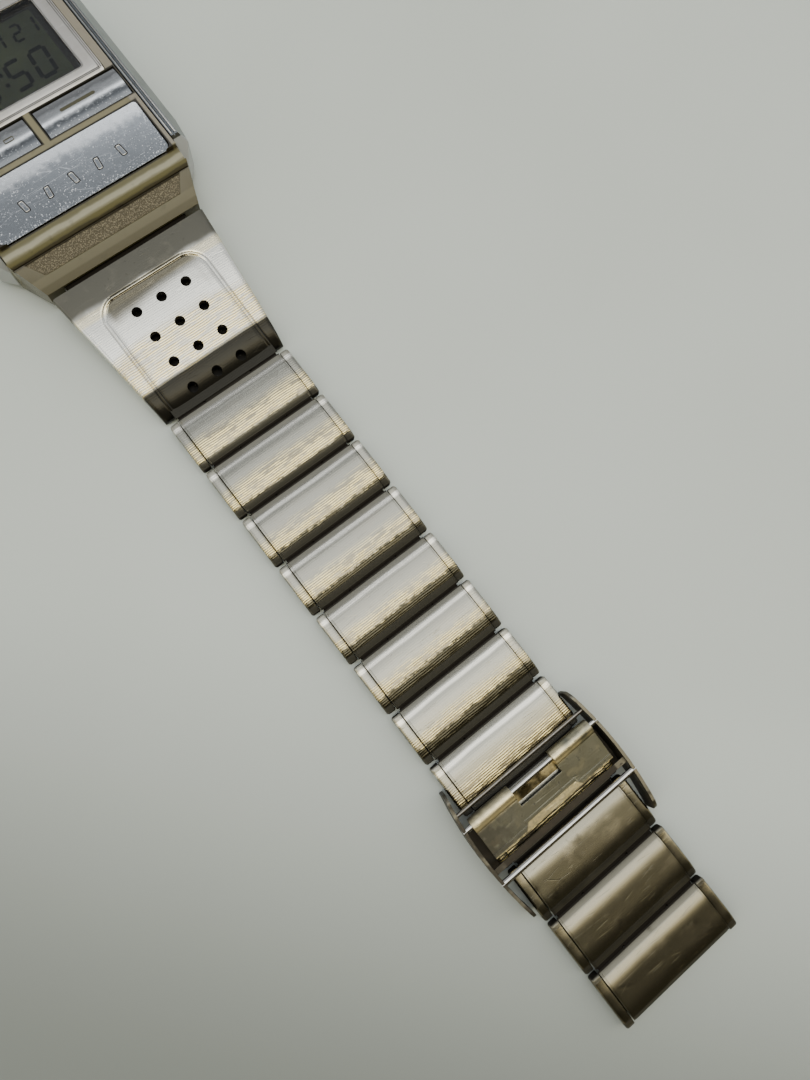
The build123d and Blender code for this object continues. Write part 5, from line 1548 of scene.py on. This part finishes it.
    def sheet_grid(self, side: int, depth: float) -> list[list[Vector]]:
        """One face of the sheet as rows of points.

        Args:
            side: the sign of Y.
            depth: how far inside the outer face it lies, 0 for the outer face.
        Returns:
            The rows.
        """
        outer, flat = depth == 0, self.across()
        rows: list[list[Vector]] = []
        for reach, height, tilt in self.row_list():
            rise, run = math.cos(tilt), math.sin(tilt)
            top, place = height - depth * rise, reach - depth * run
            half = self.half_at(reach) - depth * self.skirt / self.sheet
            roll, low = self.inner_roll, top - 0.03
            if outer:
                roll, low = min(self.side_roll, max(height - self.floor - 0.1, 0.05)), top - 0.06
            low, edge = min(self.under_at(reach), low), half - roll
            wall = [(half, low), (half, low + (top - roll - low) * 0.5)]
            for angle in map(math.radians, (0, 22, 45, 67)):
                wall.append((edge + roll * math.cos(angle), top - roll + roll * math.sin(angle)))
            wall += [(edge + (flat[-1] - edge) * n / 3, top) for n in range(3)]
            row = [(-x, place, z) for x, z in wall]
            for x in flat:
                extra = self.relief(x, reach) if outer else 0.0
                row.append((x, place + extra * run, top + extra * rise))
            row += [(x, place, z) for x, z in reversed(wall)]
            rows.append([Vector((x, y * side, z)) for x, y, z in row])
        return rows

    def shell(self, name: str, side: int) -> bpy.types.Object:
        """The pressed sheet as one closed shell, without its holes."""
        shape = Shape(name)
        outer, inner = self.sheet_grid(side, 0.0), self.sheet_grid(side, self.sheet)
        rows, count = len(outer), len(outer[0])
        for row in outer + inner:
            shape.points.extend(row)
        shift = rows * count
        for r in range(rows - 1):
            for c in range(count - 1):
                a, b = r * count + c, (r + 1) * count + c
                quad = (a, a + 1, b + 1, b)
                shape.faces.append(quad)
                shape.faces.append(tuple(shift + v for v in reversed(quad)))
        border = list(range(count)) + [r * count + count - 1 for r in range(1, rows)]
        border += [(rows - 1) * count + c for c in reversed(range(count - 1))]
        border += [r * count for r in reversed(range(1, rows - 1))]
        for n, a in enumerate(border):
            b = border[(n + 1) % len(border)]
            shape.faces.append((a, b, b + shift, a + shift))
        return shape.finished()

    def loop(self, name: str, side: int) -> bpy.types.Object:
        """The rolled tube round the spring bar, its tongue, and the knuckle for the first link."""
        shape = Shape(name)
        shape.tube(self.bar, *self.tube_radii, self.tube_half, side)
        shape.bar(self.tongue, both_ways(self.tongue_edge), side)
        shape.bar(self.lip, both_ways(self.lip_edge), side)
        end = self.knuckle
        shape.rod(self.hinge, self.barrel, (-end, end), side)
        shape.box((-end, 46.3, 1.0), (end, 47.8, 1.65), side)
        return shape.finished()

    def hole_shade(self, name: str, side: int) -> bpy.types.Object:
        """The dark leaf behind the holes, just under the sheet, that paints the shade inside them.
        """
        shape = Shape(name)
        reaches = [self.hole_shade_start + 1.5 * n for n in range(11)]
        under = [(r, max(self.top_at(r) - self.sheet - 1.1, 0.75)) for r in reaches]
        outline = [(r, z - 0.2) for r, z in under] + list(reversed(under))
        shape.bar(outline, both_ways([(self.hole_shade_half, 0.0)]), side)
        return shape.finished()

    def build(self) -> None:
        """Presses both end pieces and punches their holes."""
        tree = PerforationTree()
        for half in Half:
            word, side = half.name.lower(), half.value
            made = tree.run(
                self.shell(f"end_form_{word}", side), f"end_sheet_{word}",
                Columns=self.columns, Rows=self.rows,
                Width=self.column_step * (self.columns - 1) * MM,
                Length=self.row_step * (self.rows - 1) * MM,
                Middle=self.rows_middle * side * MM, Radius=self.hole_radius * MM,
                Steel=self.rack.get(END_STEEL))
            body = f"end_{word}"
            self.keep(made, body, "satin_steel", stands_for=(f"end_piece_{word}",))
            self.keep(self.loop(f"end_loop_{word}", side), body, "satin_steel", END_STEEL)
            # A black leaf under the holes stands in for the shade inside them.
            self.keep(self.hole_shade(f"end_lining_{word}", side), body, "satin_steel", GROOVE_AND_SHADE_BLACK)


@dataclass
class CaseShell(Assembly):
    """The resin case, the side rails and the steel back.

    A line on a rail is its place in X, half its width and its top.
    """

    line_end: float = 15.6
    line_foot: float = 7.9
    bright_lines: tuple[Triple, Triple] = ((14.66, 0.07, 8.05), (15.30, 0.09, 8.05))
    dark_lines: tuple[Triple, Triple] = ((14.80, 0.05, 8.02), (15.14, 0.05, 8.02))
    carried: ClassVar[dict[str, Finish]] = {
        "case_back": BACK_STEEL, "back_screws": ROD_CHROME, "back_gasket": RUBBER}

    def build(self) -> None:
        """Eases the corners of the case and the rails, and lays the lines on the rails."""
        self.ease("case_body", "case_shell", "case", "case_resin", CASE_RESIN, 0.16, 30.0)
        for side in ("left", "right"):
            self.ease(f"side_rail_{side}", f"rail_{side}", "case", "bright_steel", RAIL_CHROME,
                      0.12, 18.0)
        for side, sign in (("left", -1), ("right", 1)):
            for name, lines, finish in (("rail_lines", self.bright_lines, ROD_CHROME),
                                        ("rail_groove", self.dark_lines, GROOVE_AND_SHADE_BLACK)):
                shape = Shape(f"{name}_{side}")
                for x, half, top in lines:
                    low, high = sided(sign, x - half, x + half)
                    shape.plate(rounded_box((low, -self.line_end), (high, self.line_end), 0.045, 1),
                                [(self.line_foot, 0.0), (top - 0.02, 0.0), (top, 0.02)])
                self.keep(shape.finished(), "case", "bright_steel", finish)


@dataclass
class Display(Assembly):
    """The frame, the crystal, the liquid crystal panel and its plain figures."""

    ink_levels: Box = ((6.765, 0.0), (6.785, 0.0))
    line_levels: Box = ((8.05, 0.0), (8.112, 0.0))
    slant: float = 0.09
    mask: Box = ((-11.2, -0.62), (11.2, 13.85))
    window: Box = ((-9.75, 0.75), (9.75, 12.5))
    mask_z: Point = (6.80, 6.86)
    rim: Box = ((-10.86, -0.26), (10.86, 13.51))
    rim_hole: Box = ((-10.68, -0.08), (10.68, 13.33))
    rim_z: Point = (8.04, 8.13)
    upright_lines: tuple[float, ...] = (-12.72, -12.42, 12.42, 12.72)
    level_lines: tuple[float, ...] = (-1.62, -1.38)
    lit: ClassVar[dict[str, str]] = {"0": "abcdef", "1": "bc", "2": "abged", "5": "afgcd"}
    carried: ClassVar[dict[str, Finish]] = {
        "lcd_panel": LCD_FACE, "crystal": LENS, "connector_strips": RUBBER,
        "light_guide": GUIDE_PLASTIC}

    def segments(self, shape: Shape, figure: str, corner: Point, size: Point,
                 stroke: float) -> None:
        """Adds a seven-segment figure.

        Args:
            shape: what it is added to.
            figure: a figure that lit names the segments of.
            corner: its lower left corner.
            size: its width and height.
            stroke: the width of a segment.
        """
        (x, y), (w, h) = corner, size
        places = {"a": (x, y + h, w, 0), "g": (x, y + h / 2, w, 0), "d": (x, y, w, 0),
                  "f": (x, y + h / 2, 0, h / 2), "b": (x + w, y + h / 2, 0, h / 2),
                  "e": (x, y, 0, h / 2), "c": (x + w, y, 0, h / 2)}
        gap, half, cut = stroke * 0.18, stroke / 2, stroke * 0.22
        for letter in self.lit[figure]:
            px, py, dx, dy = places[letter]
            if dx:
                start, stop = px + gap, px + dx - gap
                bar = [(start, py), (start + cut, py - half), (stop - cut, py - half),
                       (stop, py), (stop - cut, py + half), (start + cut, py + half)]
            else:
                start, stop = py + gap, py + dy - gap
                bar = [(px, start), (px + half, start + cut), (px + half, stop - cut),
                       (px, stop), (px - half, stop - cut), (px - half, start + cut)]
            leaning = [(bx + (by - y) * self.slant, by) for bx, by in bar]
            shape.plate(leaning, self.ink_levels)

    @staticmethod
    def ring(name: str, outer: Box, inner: Box, heights: Point,
             radius: float) -> bpy.types.Object:
        """A flat rectangular ring with round corners.

        Args:
            name: its name.
            outer: its lower and upper corner.
            inner: its opening's lower and upper corner.
            heights: its bottom and top.
            radius: its corners' radius.
        Returns:
            The ring's object.
        """
        shape = Shape(name)
        rim, hole = rounded_box(*outer, radius), rounded_box(*inner, radius)
        low, high = heights
        shape.rings([[Vector((x, y, z)) for x, y in outline]
                     for outline, z in ((rim, low), (rim, high), (hole, high), (hole, low))],
                    looped=True)
        return shape.finished()

    def build(self) -> None:
        """Makes the eased frame, the figures, the mask, the window's rim and the frame's lines."""
        self.ease("display_frame", "frame_eased", "case", "frame_metal", FRAME_STEEL, 0.07, 20.0)
        figures = Shape("figures")
        for text, start, step, space, foot, size, stroke in (
                ("1050", -7.6, 3.9, 1.2, 1.9, (2.3, 4.5), 0.62),
                ("1121", 0.2, 2.25, 0.8, 8.6, (1.3, 2.6), 0.40)):
            for n, figure in enumerate(text):
                x = start + n * step + (space if n > 1 else 0.0)
                self.segments(figures, figure, (x, foot), size, stroke)
        for y in (3.2, 5.0):
            figures.plate(rounded_box((0.35, y), (0.95, y + 0.6), 0.1, 2), self.ink_levels)
        self.keep(figures.finished(), "case", "display_glass", SEGMENT_INK)
        self.keep(self.ring("display_mask", self.mask, self.window, self.mask_z, 0.4),
                  "case", "display_glass", GROOVE_AND_SHADE_BLACK)
        self.keep(self.ring("window_rim", self.rim, self.rim_hole, self.rim_z, 0.5),
                  "case", "frame_metal", ROD_CHROME)
        lines = Shape("frame_lines")
        strips = [((x - 0.05, -1.5), (x + 0.05, 16.0)) for x in self.upright_lines]
        strips += [((-12.5, y - 0.045), (12.5, y + 0.045)) for y in self.level_lines]
        for low, high in strips:
            lines.plate(rounded_box(low, high, 0.04, 1), self.line_levels)
        self.keep(lines.finished(), "case", "frame_metal", GROOVE_AND_SHADE_BLACK)


@dataclass
class Keys(Assembly):
    """The two small buttons, the wide light plate and the leaf springs under them.

    button_mark is its middle and size; button_y is the caps' middle in Y and half their length.
    """

    travel: float = 0.54
    mark_row: tuple[float, ...] = (-7.8, -3.95, 0.0, 3.87, 7.6)
    mark_y: float = -13.65
    mark_lean: float = 0.12
    mark_size: Point = (0.92, 1.9)
    core_size: Point = (0.68, 1.66)
    dash: Box = ((4.1, -4.7), (9.7, -4.2))
    dash_levels: Box = ((-0.05, 0.0), (0.015, 0.0))
    button_mark: Box = ((-4.0, -4.5), (1.5, 0.72))
    button_y: Point = (-4.775, 2.375)

    def build(self) -> None:
        """Bows the springs less, eases the keys' edges and lays their plain marks."""
        for spring, name in (("button_spring_left", "leaf_left"),
                             ("button_spring_right", "leaf_right"),
                             ("light_spring", "leaf_light")):
            leaf = flattened(self.frame["nodes"][spring], name, self.travel)
            self.keep(leaf, "case", "works_steel", WORKS_NICKEL, (spring,))
        for side in ("left", "right"):
            self.ease(f"button_{side}", f"button_cap_{side}", f"{side}_button", "bright_steel",
                      BUTTON_CHROME, 0.10, 14.0, 3)
        self.ease("light_button", "light_cap", "light_plate", "bright_steel", PLATE_CHROME,
                  0.14, 20.0, 3)
        marks, cores = Shape("light_marks"), Shape("light_mark_lines")
        for n, x in enumerate(self.mark_row):
            centre, lean = (x, self.mark_y), self.mark_lean if n % 2 else -self.mark_lean
            self.outline_mark(marks, centre, self.mark_size, 0.13, self.plate_height, lean)
            self.outline_mark(cores, centre, self.core_size, 0.11, self.core_height, lean)
        self.keep(marks.finished(), "light_plate", "bright_steel", GROOVE_AND_SHADE_BLACK)
        self.keep(cores.finished(), "light_plate", "bright_steel", ROD_CHROME)
        dash = Shape("button_dash")
        dash.plate(rounded_box(*self.dash, 0.24), self.dash_levels, self.cap_height)
        self.keep(dash.finished(), "right_button", "bright_steel", DASH_LACQUER)
        small = Shape("button_mark")
        self.outline_mark(small, *self.button_mark, 0.14, self.cap_height, 0.0)
        self.keep(small.finished(), "left_button", "bright_steel", DASH_LACQUER)

    @staticmethod
    def plate_height(y: float) -> float:
        """The height of the light plate's face."""
        return 8.1 - 0.6 * (-8.6 - y) / 8.4

    @classmethod
    def core_height(cls, y: float) -> float:
        """The height of the pale lines inside the marks, a little lower than the marks."""
        return cls.plate_height(y) - 0.03

    def cap_height(self, y: float) -> float:
        """The height of a small button's crowned face."""
        middle, half = self.button_y
        return 7.85 + 0.35 * (1.0 - ((y - middle) / half) ** 2)

    @staticmethod
    def outline_mark(shape: Shape, centre: Point, size: Point, line: float,
                     height: Callable[[float], float], lean: float) -> None:
        """Adds a plain raised outline, a lozenge with round corners.

        Args:
            shape: what it is added to.
            centre: its middle.
            size: its width and height.
            line: the width of its line.
            height: the face's height at a place in Y.
            lean: how far its top is shifted sideways per millimetre.
        """
        (cx, cy), (w, h) = centre, size
        outer = rounded_box((cx - w / 2, cy - h / 2), (cx + w / 2, cy + h / 2), min(w, h) * 0.3)
        rings: list[list[Vector]] = []
        for depth, up in ((0.0, -0.06), (0.0, 0.03), (line * 0.3, 0.05), (line * 0.7, 0.05),
                          (line, 0.03), (line, -0.06)):
            rings.append([Vector((x + (y - cy) * lean, y, height(y) + up))
                          for x, y in inset(outer, depth)])
        shape.rings(rings, looped=True)


@dataclass
class Clasp(Assembly):
    """The sliding clasp, its flap, the hook plate and its cover."""

    tongue: tuple[Point, ...] = ((115.25, 3.02), (117.1, 2.94), (117.1, 3.02), (115.3, 3.14))
    tongue_edge: Box = ((4.2, 0.02), (4.1, 0.0))
    carried: ClassVar[dict[str, Finish]] = {
        "front_bar": DULL_ROD, "flap_pin": ROD_CHROME, "catch_rod": ROD_CHROME,
        "cover_pin": DULL_ROD}

    def build(self) -> None:
        """Eases the clasp's sheet edges and lays the tongue in the flap's notch."""
        for node, name, body, finish in (
                ("clasp_frame", "clasp_wings", "carriage", CLASP_STEEL),
                ("clasp_flap", "flap_leaf", "flap", FLAP_STEEL),
                ("hook_plate", "hook_leaf", "hook", CLASP_STEEL),
                ("clasp_cover", "cover_leaf", "cover", FLAP_STEEL)):
            self.ease(node, name, body, "satin_steel", finish, 0.07, 24.0)
        tongue = Shape("catch_tongue")
        tongue.bar(self.tongue, both_ways(self.tongue_edge), Half.SIX.value)
        self.keep(tongue.finished(), "flap", "satin_steel", TONGUE_BRASS)


@dataclass
class Works(Assembly):
    """What lies inside the case."""

    carried: ClassVar[dict[str, Finish]] = {
        "module_housing": WORKS_PLASTIC, "circuit_board": BOARD, "ic_chip": CHIP_EPOXY,
        "quartz_crystal": WORKS_NICKEL, "contact_leaves": WORKS_BRASS, "coin_cell": WORKS_NICKEL,
        "battery_clip": WORKS_NICKEL, "buzzer_disc": WORKS_BRASS, "spring_bar_six": ROD_CHROME,
        "spring_bar_twelve": ROD_CHROME}


# ---------------------------------------------------------------- the studio


@dataclass
class Studio:
    """The pale table, the soft light and the camera.

    eye is where the camera stands; right, down and ahead are its directions. The table's half
    is in metres.
    """

    eye: Triple = (-13.859, -89.482, 107.88)
    right: Triple = (0.7837, -0.61347, 0.09735)
    down: Triple = (-0.59234, -0.78529, -0.18017)
    ahead: Triple = (0.18697, 0.08353, -0.97881)
    lens: float = 26.0
    film: float = 36.0
    table_half: float = 3.0
    pale: Tone = (0.63, 0.68, 0.645)
    cloudy: Tone = (0.605, 0.65, 0.615)
    shadow: Tone = (0.195, 0.212, 0.194)
    warm_sky: Tone = (1.0, 0.87, 0.52)
    cool_sky: Tone = (0.93, 0.98, 1.04)
    lamp_place: Triple = (30.0, -30.0, 430.0)
    lamp_aim: Triple = (0.0, -30.0, 0.0)
    lamp_size: float = 280.0
    lamp_power: float = 0.36
    lamp_tone: Tone = (0.98, 1.0, 0.99)

    def camera(self) -> None:
        """Stands the camera where the photograph was taken from."""
        data = bpy.data.cameras.new("camera")
        data.sensor_fit, data.sensor_height, data.sensor_width = "VERTICAL", self.film, self.film
        data.lens, data.clip_start, data.clip_end = self.lens, 0.005, 20.0
        seen = placed("camera", data)
        turn = Matrix((Vector(self.right), -Vector(self.down), -Vector(self.ahead))).transposed()
        seen.matrix_world = Matrix.Translation(Vector(self.eye) * MM) @ turn.to_4x4()
        bpy.context.scene.camera = seen

    def table(self) -> None:
        """Lays the pale table, darker towards its near left."""
        mesh = bpy.data.meshes.new("table")
        half = self.table_half
        mesh.from_pydata([(-half, -half, 0), (half, -half, 0), (half, half, 0), (-half, half, 0)],
                         [], [(0, 1, 2, 3)])
        top = placed("table", mesh)
        p = Paint("pale_table")
        tone = p.mix(p.noise(0.02, 2.0).rise(0.3, 0.7), self.pale, self.cloudy)
        lean = p.y + p.x * 1.35
        dim = lean.rise(-88.0, -205.0) * lean.rise(-430.0, -260.0)
        tone = p.mix(dim, tone, self.shadow)
        grain = p.bump(p.noise(2.0, 3.0), 0.01)
        mesh.materials.append(p.coat(Base_Color=tone, Roughness=0.6, Normal=grain))

    def light(self) -> None:
        """Hangs one broad soft lamp over a sky that darkens towards the near side."""
        world = bpy.data.worlds.new("studio")
        world.use_nodes = True
        bpy.context.scene.world = world
        g = Graph(world.node_tree)
        g.tree.nodes.clear()
        coordinates = g.add("ShaderNodeTexCoord")
        axes = g.add("ShaderNodeSeparateXYZ", None, {0: coordinates.outputs["Generated"]})
        x, y, z = (Value(g, axes.outputs[n]) for n in range(3))
        lean = y + x * 0.22
        strip = lean.band(-0.20, -0.04, 0.12)
        beside = abs(x).rise(0.35, 0.75)
        pane = lean.band(0.55, 0.61, 0.03) * abs(x).rise(0.60, 0.35)
        behind = lean.rise(0.30, 0.50)
        glow = 0.95 + strip * 2.2 + beside * 0.25 + pane * 1.8 - behind * 0.68
        glow = lean.rise(-0.38, -0.20) * glow * z.rise(0.0, 0.40)
        glow = glow + z.rise(0.5, 0.05) * 0.60 + 0.08
        tint = g.add("ShaderNodeMix", {"data_type": "RGBA"},
                     {"Factor": lean.rise(-0.30, 0.10), 6: self.warm_sky, 7: self.cool_sky})
        background = g.add("ShaderNodeBackground", None,
                           {"Color": tint.outputs[2], "Strength": glow})
        g.add("ShaderNodeOutputWorld", None, {"Surface": background.outputs[0]})
        data = bpy.data.lights.new("window", "AREA")
        data.size, data.energy, data.color = self.lamp_size * MM, self.lamp_power, self.lamp_tone
        hung = placed("window", data)
        hung.location = Vector(self.lamp_place) * MM
        aim = Vector(self.lamp_aim) - Vector(self.lamp_place)
        hung.rotation_euler = aim.to_track_quat("-Z", "Y").to_euler()


def main() -> None:
    """Builds the watch on its frame, dresses it and sets the studio round it."""
    logging.basicConfig(level=logging.INFO, format="%(name)s: %(message)s")
    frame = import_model()
    rack = FinishRack()
    studio = Studio()
    studio.camera()
    for kind in (Bracelet, EndPieces, CaseShell, Display, Keys, Clasp, Works):
        assembly = kind(frame, rack)
        assembly.build()
        assembly.dress()
        LOG.info("%s is done", kind.__name__)
    studio.table()
    studio.light()


if __name__ == "__main__":
    main()
